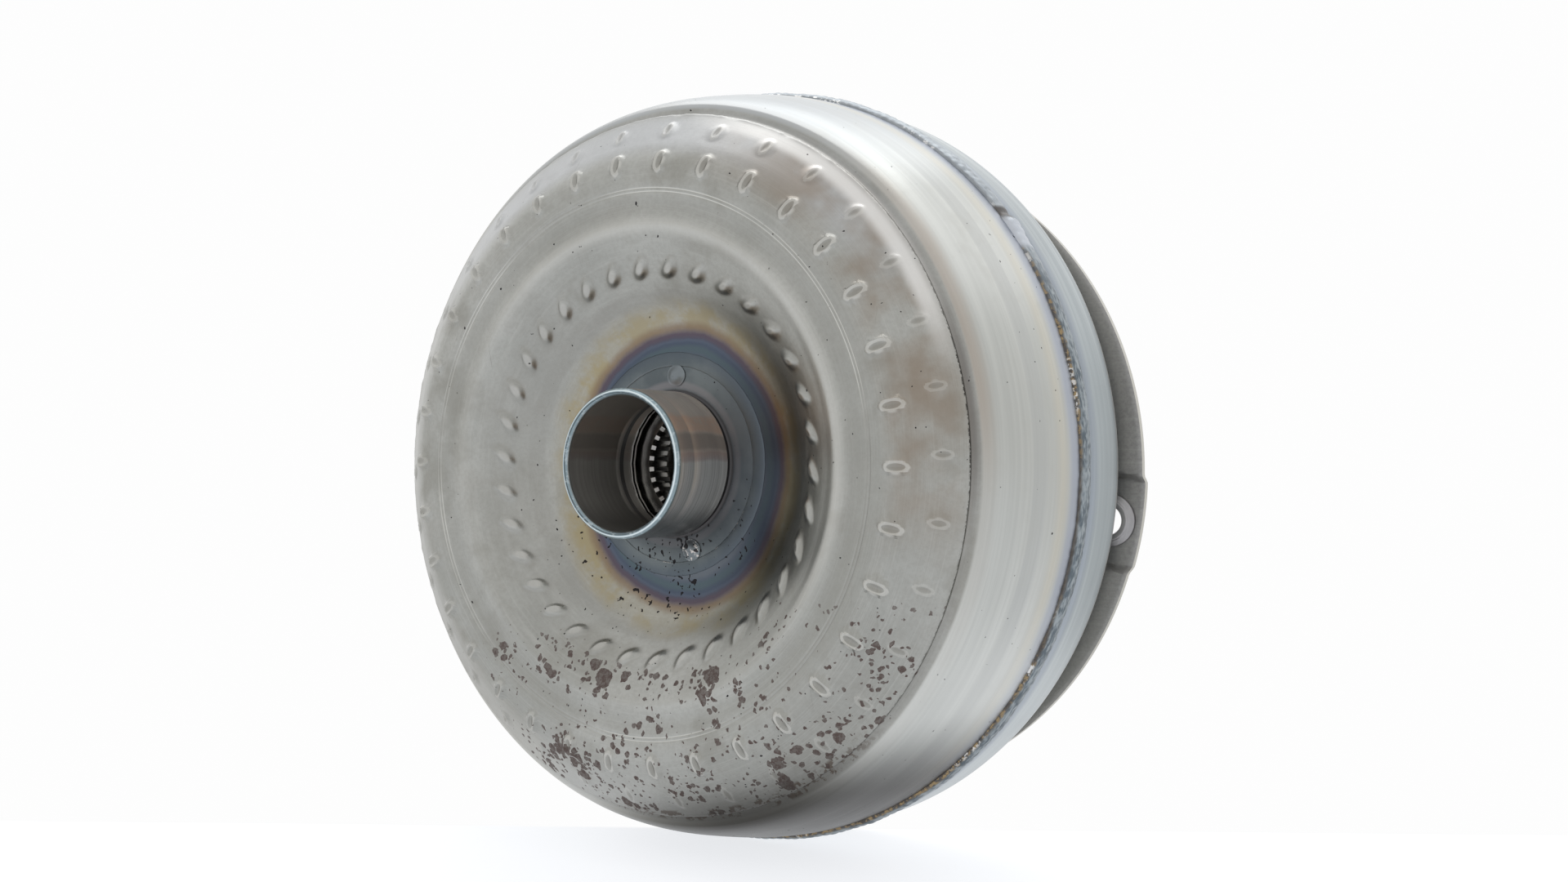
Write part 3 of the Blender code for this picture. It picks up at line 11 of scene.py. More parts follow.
import bmesh
import bpy
import numpy as np
from mathutils import Matrix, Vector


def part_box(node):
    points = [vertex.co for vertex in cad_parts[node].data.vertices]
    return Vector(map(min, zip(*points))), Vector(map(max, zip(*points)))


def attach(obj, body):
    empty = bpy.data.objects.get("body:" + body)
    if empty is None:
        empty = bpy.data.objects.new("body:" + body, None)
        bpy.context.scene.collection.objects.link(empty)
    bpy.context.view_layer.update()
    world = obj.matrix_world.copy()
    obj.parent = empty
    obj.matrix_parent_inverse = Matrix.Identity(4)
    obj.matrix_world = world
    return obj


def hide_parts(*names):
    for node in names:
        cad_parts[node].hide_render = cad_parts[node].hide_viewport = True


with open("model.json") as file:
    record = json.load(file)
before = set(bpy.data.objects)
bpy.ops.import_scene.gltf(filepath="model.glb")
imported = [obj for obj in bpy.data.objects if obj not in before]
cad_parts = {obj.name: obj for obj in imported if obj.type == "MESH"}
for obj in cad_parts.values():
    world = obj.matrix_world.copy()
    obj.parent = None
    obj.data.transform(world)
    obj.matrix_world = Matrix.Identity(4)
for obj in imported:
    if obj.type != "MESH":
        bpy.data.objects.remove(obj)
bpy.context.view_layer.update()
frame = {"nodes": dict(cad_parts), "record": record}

MM = 0.001
MOUTH_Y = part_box("pump_hub")[0].y
BLADES = 34
PITCH = 360.0 / BLADES
ROUND = 2 * math.pi

# Outer line of the impeller shell, as (radius, station) points from the hub flange to the seam
BOWL = [(36.3, 29.5), (41.0, 29.4), (45.4, 28.85), (50.3, 27.2), (54.5, 24.7), (58.3, 21.9),
        (62.6, 18.6), (66.7, 15.7), (70.4, 13.3), (74.2, 11.3), (79.0, 9.5), (84.4, 8.75),
        (91.4, 8.35), (96.0, 8.05), (101.0, 8.9), (106.0, 11.6), (110.0, 14.6), (114.6, 18.3),
        (117.6, 20.7)]
LIP = [(118.5, 21.4), (118.75, 22.0), (118.35, 22.7), (118.4, 23.6), (119.1, 24.4), (120.3, 24.9)]
BAND = [(121.9, 25.3), (123.3, 26.4), (125.2, 29.8), (127.4, 36.2), (129.6, 45.2), (131.6, 54.6),
        (132.9, 63.0), (133.6, 71.6)]
SHELL_WALL = 4.0

# Rows of raised tabs' seats, one to a blade: radius, half length, half width, height, angle shift
TAB_ROWS = {
    "inner": (66.5, 4.6, 4.0, 1.25, 1.8, 2.1),
    "middle": (100.8, 4.6, 3.1, 1.20, 0.0, 0.0),
    "outer": (112.4, 4.0, 2.5, 0.60, -2.0, 0.0),
}

FACE_STATION = 106.6
BOSS_STATION = 109.6
LOBE_ANGLE = 3.0
PAD_ANGLE = 8.0
BOLT_RADIUS = 127.5


# Meshes


def grid_faces(rows, columns, wrap_rows, wrap_columns):
    """Corner numbers of the quads between neighbours of a rows by columns grid of points."""
    r = np.arange(rows if wrap_rows else rows - 1)[:, None]
    c = np.arange(columns if wrap_columns else columns - 1)[None, :]
    right = (c + 1) % columns
    below = (r + 1) % rows
    corners = [r * columns + c, r * columns + right, below * columns + right, below * columns + c]
    return np.stack(np.broadcast_arrays(*corners), axis=-1).reshape(-1, 4)


def outwards(points, faces):
    """The faces, turned round if the space they close has a negative volume."""
    a, b, c, d = (points[faces[:, k]] for k in range(4))
    volume = (np.cross(a, b) * c).sum() + (np.cross(a, c) * d).sum()
    return faces if volume > 0 else faces[:, ::-1]


def piece(name, points, faces, body, *nodes, close=False, sharp=34.0):
    """Object from points in metres and quads; it rides on a body and stands for CAD nodes."""
    points = np.asarray(points, dtype=float).reshape(-1, 3)
    mesh = bpy.data.meshes.new(name)
    mesh.from_pydata(points.tolist(), [], outwards(points, faces).tolist())
    if close:
        bm = bmesh.new()
        bm.from_mesh(mesh)
        bmesh.ops.remove_doubles(bm, verts=bm.verts, dist=1e-7)
        bm.to_mesh(mesh)
        bm.free()
    mesh.shade_smooth()
    mesh.set_sharp_from_angle(angle=math.radians(sharp))
    made = bpy.data.objects.new(name, mesh)
    bpy.context.scene.collection.objects.link(made)
    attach(made, body)
    if nodes:
        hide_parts(*nodes)
    return made


SLOTS = {part["node"]: part["material_slot"] for part in frame["record"]["subparts"]}


def around(radius, angle, station):
    """Points at radii and stations in mm and angles in radians, as metres in the row frame."""
    radius, angle, station = np.broadcast_arrays(radius, angle, station)
    return np.stack([
        radius * np.cos(angle) * MM, station * MM + MOUTH_Y, -radius * np.sin(angle) * MM
    ], axis=-1)


def rounded(corners, steps=5):
    """Closed outline of (radius, station, round) corners.

    A corner with a round above 0 becomes a parabola that starts and ends that far along its
    two sides: p(t) = (1-t)^2 a + 2t(1-t) corner + t^2 b.
    """
    t = np.linspace(0.0, 1.0, steps)[:, None]
    places = np.array([corner[:2] for corner in corners], dtype=float)
    line = []
    for i, corner in enumerate(corners):
        here, before, after = places[i], places[i - 1], places[(i + 1) % len(places)]
        if corner[2] <= 0:
            line.append(here[None])
            continue
        a = here + (before - here) * corner[2] / np.linalg.norm(before - here)
        b = here + (after - here) * corner[2] / np.linalg.norm(after - here)
        line.append((1 - t) ** 2 * a + 2 * t * (1 - t) * here + t**2 * b)
    return np.vstack(line)


def smooth_through(points, steps=12):
    """Catmull-Rom curve through points, with the same number of steps between each two."""
    p = np.array(points, dtype=float)
    p = np.vstack([2 * p[0] - p[1], p, 2 * p[-1] - p[-2]])
    a, b, c, d = p[:-3], p[1:-2], p[2:-1], p[3:]
    t = (np.arange(steps) / steps)[None, :, None]
    a, b, c, d = (q[:, None] for q in (a, b, c, d))
    curve = 0.5 * (2 * b + (c - a) * t + (2 * a - 5 * b + 4 * c - d) * t**2
                   + (3 * b - a - 3 * c + d) * t**3)
    return np.vstack([curve.reshape(-1, 2), p[-2]])


def respaced(curve, gap_at):
    """The same curve with points as far apart as gap_at(radius, station) asks for."""
    run = np.linalg.norm(np.diff(curve, axis=0), axis=1)
    middle = (curve[1:] + curve[:-1]) / 2
    need = np.concatenate([[0.0], np.cumsum(run / gap_at(middle[:, 0], middle[:, 1]))])
    wanted = np.linspace(0.0, need[-1], int(math.ceil(need[-1])) + 1)
    return np.stack([np.interp(wanted, need, curve[:, k]) for k in (0, 1)], axis=1)


def side_of(curve):
    """Unit normals of an open curve, turned a quarter from its run towards the fluid space."""
    run = np.gradient(curve, axis=0)
    run /= np.linalg.norm(run, axis=1)[:, None]
    return np.stack([-run[:, 1], run[:, 0]], axis=1)


def even_turn(columns):
    return np.arange(columns) * ROUND / columns


def turned(name, outline, body, *nodes, columns=240, centre=None, close=False, sharp=34.0):
    """A closed outline carried round the axis, or round a parallel axis at a (radius, angle)."""
    turn = even_turn(columns)
    points = around(outline[:, None, 0], turn[None], outline[:, None, 1])
    if centre is not None:
        points = points + around(centre[0], math.radians(centre[1]), 0.0) * np.array([1.0, 0.0, 1.0])
    faces = grid_faces(len(outline), columns, True, True)
    return piece(name, points, faces, body, *nodes, close=close, sharp=sharp)


def waves(angle, counts, seed):
    """Sum of sines that close on a full turn: sin(n a + phase) / sum, one for each count n."""
    phases = np.random.default_rng(seed).uniform(0.0, ROUND, len(counts))
    total = sum(np.sin(n * angle + phase) for n, phase in zip(counts, phases))
    return total / len(counts)


def soft_step(value, low, high):
    """0 below low, 1 above high, and t*t*(3-2t) between."""
    t = np.clip((value - low) / (high - low), 0.0, 1.0)
    return t * t * (3 - 2 * t)


# Impeller shell with its rows of tab seats


def tab_seats(radius, angle_deg, along, rows):
    """Height of the tab seats in mm over the shell at every point, and a mask for their painted shade and
    highlight.

    Each seat is an oval: with q the distance from its middle in shares of its half sizes, its
    height is a soft step down from q = 0.6 to q = 1.1, less a trough along the middle. The inner
    row leans, narrows outwards like a drop and is a plain low dome.
    """
    height = np.zeros(np.broadcast(radius, angle_deg).shape)
    seat_shading = np.zeros_like(height)
    for name, (centre, half_length, half_width, rise, shift, swing) in TAB_ROWS.items():
        away = along - np.interp(centre, rows[:, 0], rows[:, 1])
        turn = angle_deg - shift - swing * np.clip(away / half_length, -1.5, 1.5)
        across = np.radians((turn + PITCH / 2) % PITCH - PITCH / 2) * radius
        if name == "inner":
            width = half_width * (1.0 - 0.30 * soft_step(away, -half_length, half_length))
            q = np.hypot(across / width, away / half_length)
            height += rise * (1 - soft_step(q, 0.30, 1.08))
            # Inner row's mask: a ring round each dome for a painted dark outline, less its middle for a
            # painted highlight.
            share = 0.5 * soft_step(q, 0.7, 0.95) * (1 - soft_step(q, 1.0, 1.3))
            share -= 1 - soft_step(q, 0.1, 0.75)
        else:
            q = np.hypot(across / half_width, away / half_length)
            # The trough shapes the seat, and also masks painted shade in it and a painted highlight round
            # it.
            trough = np.hypot((across - 0.2) / (0.38 * half_width), away / (0.64 * half_length))
            share = 1 - soft_step(trough, 0.3, 1.5)
            height += rise * (1 - soft_step(q, 0.65, 1.1)) - 0.6 * rise * share
        seat_shading += share
    return height, seat_shading


def shell_gap(radius, station):
    """How far apart the shell's rows of points are, in mm: close at seats, lines and the lip."""
    gap = np.full_like(radius, 2.4)
    face = station < 26.0
    for low, high, fine in ((60.5, 72.5, 0.60), (72.5, 89.5, 1.3), (89.5, 93.5, 0.28),
                            (93.5, 96.2, 1.0), (96.2, 105.6, 0.52), (105.6, 107.6, 1.0),
                            (107.6, 116.4, 0.58), (116.4, 123.5, 0.32), (36.0, 60.5, 1.5)):
        gap = np.where(face & (radius >= low) & (radius < high), fine, gap)
    return gap


def impeller_shell():
    """Pressed shell: its outer line carried round, with seats, a scribed double ring and waviness.

    The columns of points crowd at each blade's angle, f(x) = x - c sin(2 pi x) / 2 pi, and lean
    with radius so that they run through the seats of all three rows.
    """
    outer = respaced(smooth_through(BOWL + LIP + BAND), shell_gap)
    normal = -side_of(outer)
    along = np.concatenate([[0.0], np.cumsum(np.linalg.norm(np.diff(outer, axis=0), axis=1))])
    x = np.arange(BLADES * 15) / 15.0
    angle = PITCH * (x - 0.70 * np.sin(ROUND * x) / ROUND)
    shifts = sorted((row[0] + side * row[1], row[4] + side * row[5])
                    for row in TAB_ROWS.values() for side in (-1.0, 1.0))
    lean = np.interp(outer[:, 0], *zip(*shifts))
    angle = angle[None, :] + lean[:, None]
    radius = outer[:, None, 0]
    height, seat_shading = tab_seats(radius, angle, along[:, None],
                               np.stack([outer[:, 0], along], axis=1))
    face = outer[:, None, 1] < 15.0
    for ring in (90.8, 92.0):
        height -= 0.16 * np.exp(-(((radius - ring) / 0.26) ** 2)) * face
    height += 0.75 * np.exp(-(((radius - 79.6) / 3.1) ** 2)) * face
    height -= 0.35 * np.exp(-(((radius - 86.2) / 3.0) ** 2)) * face
    radians = np.radians(angle)
    ragged = waves(radians, (34, 61, 97, 143, 201), 4)
    height += 0.22 * ragged * np.exp(-(((radius - 118.6) / 0.5) ** 2)) * (outer[:, None, 1] < 23)
    dents = waves(radians, (2, 5, 7), 5) * np.sin(radius * 0.11) + waves(radians, (3, 4, 9), 6)
    height += 0.10 * dents * soft_step(radius, 40.0, 60.0) * soft_step(-radius, -133.0, -124.0)
    radii = radius + normal[:, None, 0] * height
    stations = outer[:, None, 1] + normal[:, None, 1] * height
    outside = around(radii, radians, stations)

    base = respaced(smooth_through(BOWL + BAND), lambda r, s: np.full_like(r, 9.0))
    inner = (base + side_of(base) * SHELL_WALL)[::-1]
    inner[0] = (133.6 - SHELL_WALL, 71.6)
    inner[-1] = (36.3, 33.5)
    inside = around(inner[:, None, 0], np.radians(x * PITCH)[None, :], inner[:, None, 1])
    points = np.vstack([outside, inside])
    faces = grid_faces(len(points), len(x), True, True)
    made = piece("impeller_shell_skin", points, faces, "housing", "impeller_shell")
    # The seats' mask for painted shade and highlight goes onto the mesh.
    depth = np.zeros(points.shape[:2])
    depth[:len(outer)] = seat_shading
    mark = made.data.attributes.new("seat_shade_mask", "FLOAT", "POINT")
    mark.data.foreach_set("value", depth.ravel().astype(np.float32))
    return made


# Pump hub and its welds


def pump_hub():
    """Ground sleeve with a broken edge at its mouth, a relief at its foot and its flange disc."""
    outline = rounded([
        (22.6, 1.1, 0.25), (23.2, 0.25, 0.3), (23.6, 0.0, 0.15), (24.1, 0.0, 0.3), (25.0, 1.0, 0.3),
        (25.0, 8.2, 0.0), (24.96, 8.35, 0.0), (24.96, 9.4, 0.0), (25.0, 9.55, 0.0),
        (25.0, 21.2, 0.0), (24.93, 21.4, 0.0), (24.93, 24.6, 0.0), (25.0, 24.8, 0.0),
        (25.0, 27.2, 0.25), (24.4, 27.8, 0.3), (24.4, 29.1, 0.4), (25.4, 29.5, 0.4),
        (34.9, 29.5, 0.6), (36.0, 30.3, 0.4), (36.0, 34.0, 0.4), (22.6, 34.0, 0.6),
        (22.6, 26.0, 0.0), (22.52, 25.8, 0.0), (22.52, 25.2, 0.0), (22.6, 25.0, 0.0),
    ])
    return turned("pump_hub_skin", outline, "housing", "pump_hub", columns=288)


def ring_bead(name, radius, station, half_width, height, ripples, seed, lies_flat, *nodes):
    """Weld bead round the axis.

    Its section is a half ellipse that swells and shrinks with the waves of the weld pool and a
    slow drift, and its sides wander. It stands out towards -Y where it lies flat, and away from
    the axis elsewhere, with a lump and a pit where it was started.
    """
    columns = max(360, ripples * 6)
    turn = even_turn(columns)[None, :]
    sweep = np.linspace(0.0, math.pi, 13)[:, None]
    pool = np.abs(np.sin(ripples / 2 * turn + 0.8 * np.cos(sweep))) ** 0.7
    drift = waves(turn, (3, 7, 13, 29, 53), seed)
    grain = waves(turn + 0.013 * sweep, (97, 151, 211, 283), seed + 1)
    rise = height * np.sin(sweep) ** 0.8 * (0.80 + 0.08 * pool + 0.12 * drift + 0.05 * grain)
    side = half_width * np.cos(sweep) * (0.93 + 0.06 * drift + 0.02 * grain)
    if lies_flat:
        points = around(radius + side, turn, station - rise)
    else:
        lump = np.exp(-(((turn - 5.645) / 0.024) ** 2))
        pit = np.exp(-(((turn - 5.608) / 0.014) ** 2))
        points = around(radius + rise * (1 + 0.22 * lump - 0.35 * pit), turn, station - side)
    faces = grid_faces(len(sweep), columns, True, True)
    return piece(name, points, faces, "housing", *nodes, sharp=60.0)


def spot_boss(number, angle):
    """Lump left by a projection weld: a low mound, (1 - r^2)^1.6, with a shallow middle."""
    out = np.linspace(0.0, 1.0, 20)[:, None]
    turn = even_turn(48)[None, :]
    lump = (1 - out**2) ** 1.6 * (1.0 - 0.30 * np.exp(-((out / 0.36) ** 2)))
    rise = 1.1 * lump * (1 + 0.10 * waves(turn, (2, 3, 5, 9), number) * out)
    reach = 3.75 * out * (1 + 0.04 * waves(turn, (2, 3, 5), number + 7))
    base = 29.2
    top = around(reach, turn, base - rise)
    foot = around(reach[::-1], turn, np.full_like(rise, base))
    points = np.vstack([top, foot]) + around(30.5, math.radians(angle), 0.0) * np.array([1.0, 0, 1.0])
    faces = grid_faces(len(points), 48, True, True)
    return piece(f"hub_spot_weld_{number}_skin", points, faces, "housing",
                 f"hub_spot_weld_{number}", close=True, sharp=60.0)


# Front cover, drive plate, nuts and pilot


def front_cover():
    """Pressed cover: rim, rounded corner, face with a raised middle and turned rings."""
    corner_turn = np.linspace(0.0, math.pi / 2, 14)
    corner = np.stack([122.4 + 12 * np.cos(corner_turn), 94.6 + 12 * np.sin(corner_turn)], axis=1)
    rim = np.array([(133.6, 71.95), (133.6, 76.6), (134.1, 77.6), (134.4, 79.6), (134.4, 85.0)])
    inner_corner = np.stack([122.4 + 7 * np.cos(corner_turn[::-1]),
                             94.6 + 7 * np.sin(corner_turn[::-1])], axis=1)
    rise = np.linspace(0.0, 1.0, 9)
    slope = np.stack([59.0 - 4.0 * rise, FACE_STATION + 3.0 * rise * rise * (3 - 2 * rise)], axis=1)
    face = np.array([(0.0, BOSS_STATION), (0.0, 104.6), (53.0, 104.6), (57.0, 101.6)])
    outline = np.vstack([rim, corner, [(112.0, FACE_STATION)], slope, [(30.0, BOSS_STATION)], face,
                         inner_corner, [(128.6, 79.8), (128.6, 71.95)]])
    return turned("front_cover_skin", outline, "housing", "front_cover", columns=288, close=True)


def lobed_edge(angle_deg):
    """Rim radius of the drive plate: an arc of 117.3 mm whose centre lies 21.5 mm out per lobe."""
    turn = np.radians((angle_deg - LOBE_ANGLE + 60.0) % 120.0 - 60.0)
    return 21.5 * np.cos(turn) + np.sqrt(117.3**2 - (21.5 * np.sin(turn)) ** 2)


def drive_plate():
    """Lobed plate with pads pressed out towards the engine and a hole in each pad.

    A grid of radius by angle; its faces near a hole's middle are left out, and the points on
    that edge are drawn onto the hole's circle.
    """
    columns, rows = 900, 44
    angle = np.arange(columns) * 360.0 / columns
    share = np.concatenate([np.linspace(0, 0.66, 10)[:-1], np.linspace(0.66, 1.0, rows - 9)])
    edge = lobed_edge(angle)
    radius = 64.0 + (edge[None, :] - 64.0) * share[:, None]
    turn = np.radians(np.broadcast_to(angle, radius.shape))
    local = (angle - PAD_ANGLE + 60.0) % 120.0 - 60.0
    side = np.abs(np.sin(np.radians(local))[None, :] * radius)
    rise = 3.0 * (1 - soft_step(side, 14.2, 17.2)) * soft_step(radius, 111.5, 116.5)
    rise = rise * (np.abs(local)[None, :] < 40)
    hole_turn = np.radians(PAD_ANGLE + 120.0 * np.arange(3))
    x, z = radius * np.cos(turn), radius * np.sin(turn)
    hole_x, hole_z = BOLT_RADIUS * np.cos(hole_turn), BOLT_RADIUS * np.sin(hole_turn)
    gaps = np.hypot(x[..., None] - hole_x, z[..., None] - hole_z)
    nearest = gaps.argmin(axis=-1)
    distance = gaps.min(axis=-1)
    sheet = grid_faces(rows, columns, False, True)
    open_face = distance.ravel()[sheet].mean(axis=1) < 6.3
    kept = sheet[~open_face]
    rim_points = np.intersect1d(kept, sheet[open_face])
    pull = np.zeros(distance.size, bool)
    pull[rim_points] = True
    pull = pull.reshape(distance.shape)
    cx, cz = hole_x[nearest], hole_z[nearest]
    x = np.where(pull, cx + (x - cx) * 6.6 / distance, x)
    z = np.where(pull, cz + (z - cz) * 6.6 / distance, z)
    sheets = []
    for station, top_sheen in ((106.9, 0.25), (109.6, -0.25)):
        trim = top_sheen * soft_step(share[:, None], 0.985, 1.0)
        sheets.append(np.stack([x * MM, (station + rise + trim) * MM + MOUTH_Y, -z * MM], axis=-1))
    count = rows * columns
    low = kept
    high = kept[:, ::-1] + count
    edges = np.concatenate([np.stack([kept[:, k], kept[:, (k + 1) % 4]], axis=1) for k in range(4)])
    key = np.sort(edges, axis=1)
    _, place, times = np.unique(key, axis=0, return_index=True, return_counts=True)
    loose = edges[place[times == 1]]
    walls = np.stack([loose[:, 1], loose[:, 0], loose[:, 0] + count, loose[:, 1] + count], axis=1)
    faces = np.vstack([low, high, walls])
    points = np.stack(sheets).reshape(-1, 3)
    made = piece("drive_plate_skin", points, faces, "housing", "drive_plate")
    bm = bmesh.new()
    bm.from_mesh(made.data)
    loose_points = [v for v in bm.verts if not v.link_faces]
    bmesh.ops.delete(bm, geom=loose_points, context="VERTS")
    bm.to_mesh(made.data)
    bm.free()
    return made


def plate_nut(number):
    """Flanged nut with a coned collar; its bore has ridges one thread pitch apart."""
    thread = []
    for station in np.arange(111.9, 107.6, -1.25):
        thread += [(5.25, station, 0.0), (4.9, station - 0.45, 0.12), (5.25, station - 1.1, 0.0)]
    outline = rounded([
        (5.6, 107.02, 0.2), (6.9, 107.02, 0.3), (7.4, 107.9, 0.4), (8.7, 108.5, 0.3),
        (9.1, 108.9, 0.2), (9.1, 109.6, 0.2), (6.3, 109.6, 0.0), (6.3, 112.4, 0.15), (6.1, 112.6, 0.1),
        (5.4, 112.6, 0.2),
    ] + thread)
    centre = (BOLT_RADIUS, PAD_ANGLE + 120.0 * (number - 1))
    return turned(f"plate_nut_{number}_skin", outline, "housing", f"plate_nut_{number}",
                  columns=72, centre=centre)


def crank_pilot():
    """Turned stub with a broken edge, a foot ring and a centre drilling."""
    outline = rounded([
        (0.0, 109.9, 0.0), (19.4, 109.9, 0.3), (20.0, 110.4, 0.3), (19.3, 111.6, 0.5),
        (16.0, 112.1, 1.0), (14.0, 112.9, 0.7), (14.0, 120.4, 0.4), (12.6, 122.0, 0.3),
        (3.4, 122.0, 0.2), (1.6, 120.3, 0.2), (1.5, 117.6, 0.1), (0.0, 116.8, 0.0),
    ])
    return turned("crank_pilot_skin", outline, "housing", "crank_pilot", columns=144, close=True)


# Splined bores that show through the pump hub


def splined_ring(name, outline, teeth, depth, half_share, body, node):
    """Turned piece whose bore, marked by a third value of 1 in its outline, has square teeth.

    The bore's radius rises by the depth between teeth: a soft square wave of the angle.
    """
    columns = teeth * 16
    turn = even_turn(columns)[None, :]
    x = (turn * teeth / ROUND) % 1.0
    groove = soft_step(np.abs(x - 0.5), half_share - 0.04, half_share + 0.04)
    radius = outline[:, None, 0] + outline[:, None, 2] * depth * groove
    points = around(radius, turn, outline[:, None, 1])
    faces = grid_faces(len(outline), columns, True, True)
    return piece(name, points, faces, body, node)


def inner_race():
    outline = np.array([
        (18.9, 39.9, 0), (25.2, 39.9, 0), (25.5, 40.2, 0), (25.5, 49.6, 0), (25.2, 49.9, 0),
        (18.9, 49.9, 0), (17.6, 49.0, 1), (17.6, 40.8, 1),
    ], dtype=float)
    return splined_ring("inner_race_skin", outline, 30, 1.0, 0.26, "inner_race", "clutch_inner_race")


def turbine_hub():
    outline = np.array([
        (12.9, 55.8, 0), (39.3, 55.8, 0), (39.7, 56.2, 0), (39.7, 57.3, 0), (51.6, 57.3, 0),
        (52.0, 57.7, 0), (52.0, 60.6, 0), (51.6, 61.0, 0), (31.5, 61.0, 0), (30.5, 62.0, 0),
        (30.5, 80.1, 0), (30.2, 80.4, 0), (26.0, 80.4, 0), (26.0, 85.0, 0), (25.6, 85.15, 0),
        (20.6, 85.15, 0), (20.0, 85.7, 0), (20.0, 90.6, 0), (18.0, 90.6, 0), (18.0, 93.6, 0),
        (20.0, 93.6, 0), (20.0, 100.6, 0), (19.6, 101.0, 0), (12.9, 101.0, 0),
        (12.4, 100.4, 0), (11.4, 99.4, 1), (11.4, 57.6, 1), (12.4, 56.5, 0),
    ], dtype=float)
    return splined_ring("turbine_hub_skin", outline, 28, 1.0, 0.26, "turbine", "turbine_hub")


# Shader maths


class Flow:
    """One shader output; sums, products and powers of it add Math nodes to its paint."""

    def __init__(self, paint, socket):
        self.paint = paint
        self.socket = socket

    def maths(self, operation, *terms):
        return self.paint.node("ShaderNodeMath", {"operation": operation}, dict(enumerate(terms)))

    def __add__(self, other):
        return self.maths("ADD", self, other)

    __radd__ = __add__

    def __sub__(self, other):
        return self.maths("SUBTRACT", self, other)

    def __rsub__(self, other):
        return self.maths("SUBTRACT", other, self)

    def __mul__(self, other):
        return self.maths("MULTIPLY", self, other)

    __rmul__ = __mul__

    def __truediv__(self, other):
        return self.maths("DIVIDE", self, other)

    def __rtruediv__(self, other):
        return self.maths("DIVIDE", other, self)

    def __pow__(self, other):
        return self.maths("POWER", self, other)

    def __abs__(self):
        return self.maths("ABSOLUTE", self)


class Graph:
    """Node tree of a material or the surroundings."""

    def __init__(self, tree):
        self.tree = tree

    def node(self, kind, settings, inputs, output=0):
        """A node of one kind: its settings first, then the values or links of its sockets."""
        made = self.tree.nodes.new(kind)
        for name, value in settings.items():
            setattr(made, name, value)
        for key, value in inputs.items():
            if isinstance(value, Flow):
                self.tree.links.new(value.socket, made.inputs[key])
            else:
                made.inputs[key].default_value = value
        return Flow(self, made.outputs[output])

    def split(self, vector):
        parts = self.node("ShaderNodeSeparateXYZ", {}, {0: vector}).socket.node.outputs
        return [Flow(self, parts[k]) for k in range(3)]

    def step(self, value, low, high):
        """0 to 1 as the value goes from low to high, with soft ends; falls where low > high."""
        return self.node("ShaderNodeMapRange", {"interpolation_type": "SMOOTHSTEP"},
                         {0: value, 1: low, 2: high, 3: 0.0, 4: 1.0})

    def zone(self, value, low, high, edge):
        """1 between low and high and 0 outside, with soft edges."""
        return self.step(value, low - edge, low + edge) * self.step(value, high + edge, high - edge)

    def highest(self, first, second):
        return self.node("ShaderNodeMath", {"operation": "MAXIMUM"}, {0: first, 1: second})


class Paint(Graph):
    """One material: a Principled shader with nodes that read the place on the part in mm."""

    def __init__(self, name, metallic=1.0):
        self.material = bpy.data.materials.new(name)
        self.material.use_nodes = True
        super().__init__(self.material.node_tree)
        self.shader = self.tree.nodes["Principled BSDF"]
        self.shader.inputs["Metallic"].default_value = metallic
        self.place = self.node("ShaderNodeTexCoord", {}, {}, "Object")
        self.x, self.y, self.z = (value / MM for value in self.split(self.place))
        self.radius = (self.x * self.x + self.z * self.z) ** 0.5
        self.station = self.y - MOUTH_Y / MM

    def noise(self, scale, detail=3.0, roughness=0.55, vector=None, distortion=0.0):
        return self.node("ShaderNodeTexNoise", {}, {
            "Vector": vector or self.place, "Scale": scale, "Detail": detail,
            "Roughness": roughness, "Distortion": distortion,
        })

    def cells(self, scale, vector=None):
        """Distance from the middle of the nearest of many scattered cells, and its own chance."""
        near = self.node("ShaderNodeTexVoronoi", {}, {"Vector": vector or self.place,
                                                      "Scale": scale})
        return near, self.split(Flow(self, near.socket.node.outputs["Color"]))[0]

    def mark(self, name):
        """Value that the mesh carries under a name."""
        return self.node("ShaderNodeAttribute", {"attribute_name": name}, {}, "Fac")

    def round_the_axis(self, turns, across):
        """Vector that changes slowly round the axis and fast across it, for turned marks."""
        return self.node("ShaderNodeCombineXYZ", {}, {
            0: self.x / self.radius * turns, 1: self.z / self.radius * turns,
            2: (self.radius + self.station) * across,
        })

    def mix(self, share, first, second):
        """Colour between two colours by a share from 0 to 1."""
        return self.node("ShaderNodeMix", {"data_type": "RGBA"}, {
            0: share, 6: self._colour(first), 7: self._colour(second)
        }, 2)

    @staticmethod
    def _colour(value):
        return value if isinstance(value, Flow) else (*value, 1.0)

    def finish(self, colour, roughness, height=None, depth=0.1, strength=1.0):
        """Feeds the shader; height in 0 to 1 becomes relief of a depth in mm."""
        for name, value in (("Base Color", colour), ("Roughness", roughness)):
            if isinstance(value, Flow):
                self.tree.links.new(value.socket, self.shader.inputs[name])
            elif name == "Base Color":
                self.shader.inputs[name].default_value = (*value, 1.0)
            else:
                self.shader.inputs[name].default_value = value
        if height is not None:
            bump = self.node("ShaderNodeBump", {}, {
                "Height": height, "Distance": depth * MM, "Strength": strength
            })
            self.tree.links.new(bump.socket, self.shader.inputs["Normal"])
        return self.material


def wear(*objects_and_paint):
    """Gives every object the paint that comes last."""
    *objects, material = objects_and_paint
    for made in objects:
        made.data.materials.clear()
        made.data.materials.append(material)


# Finishes


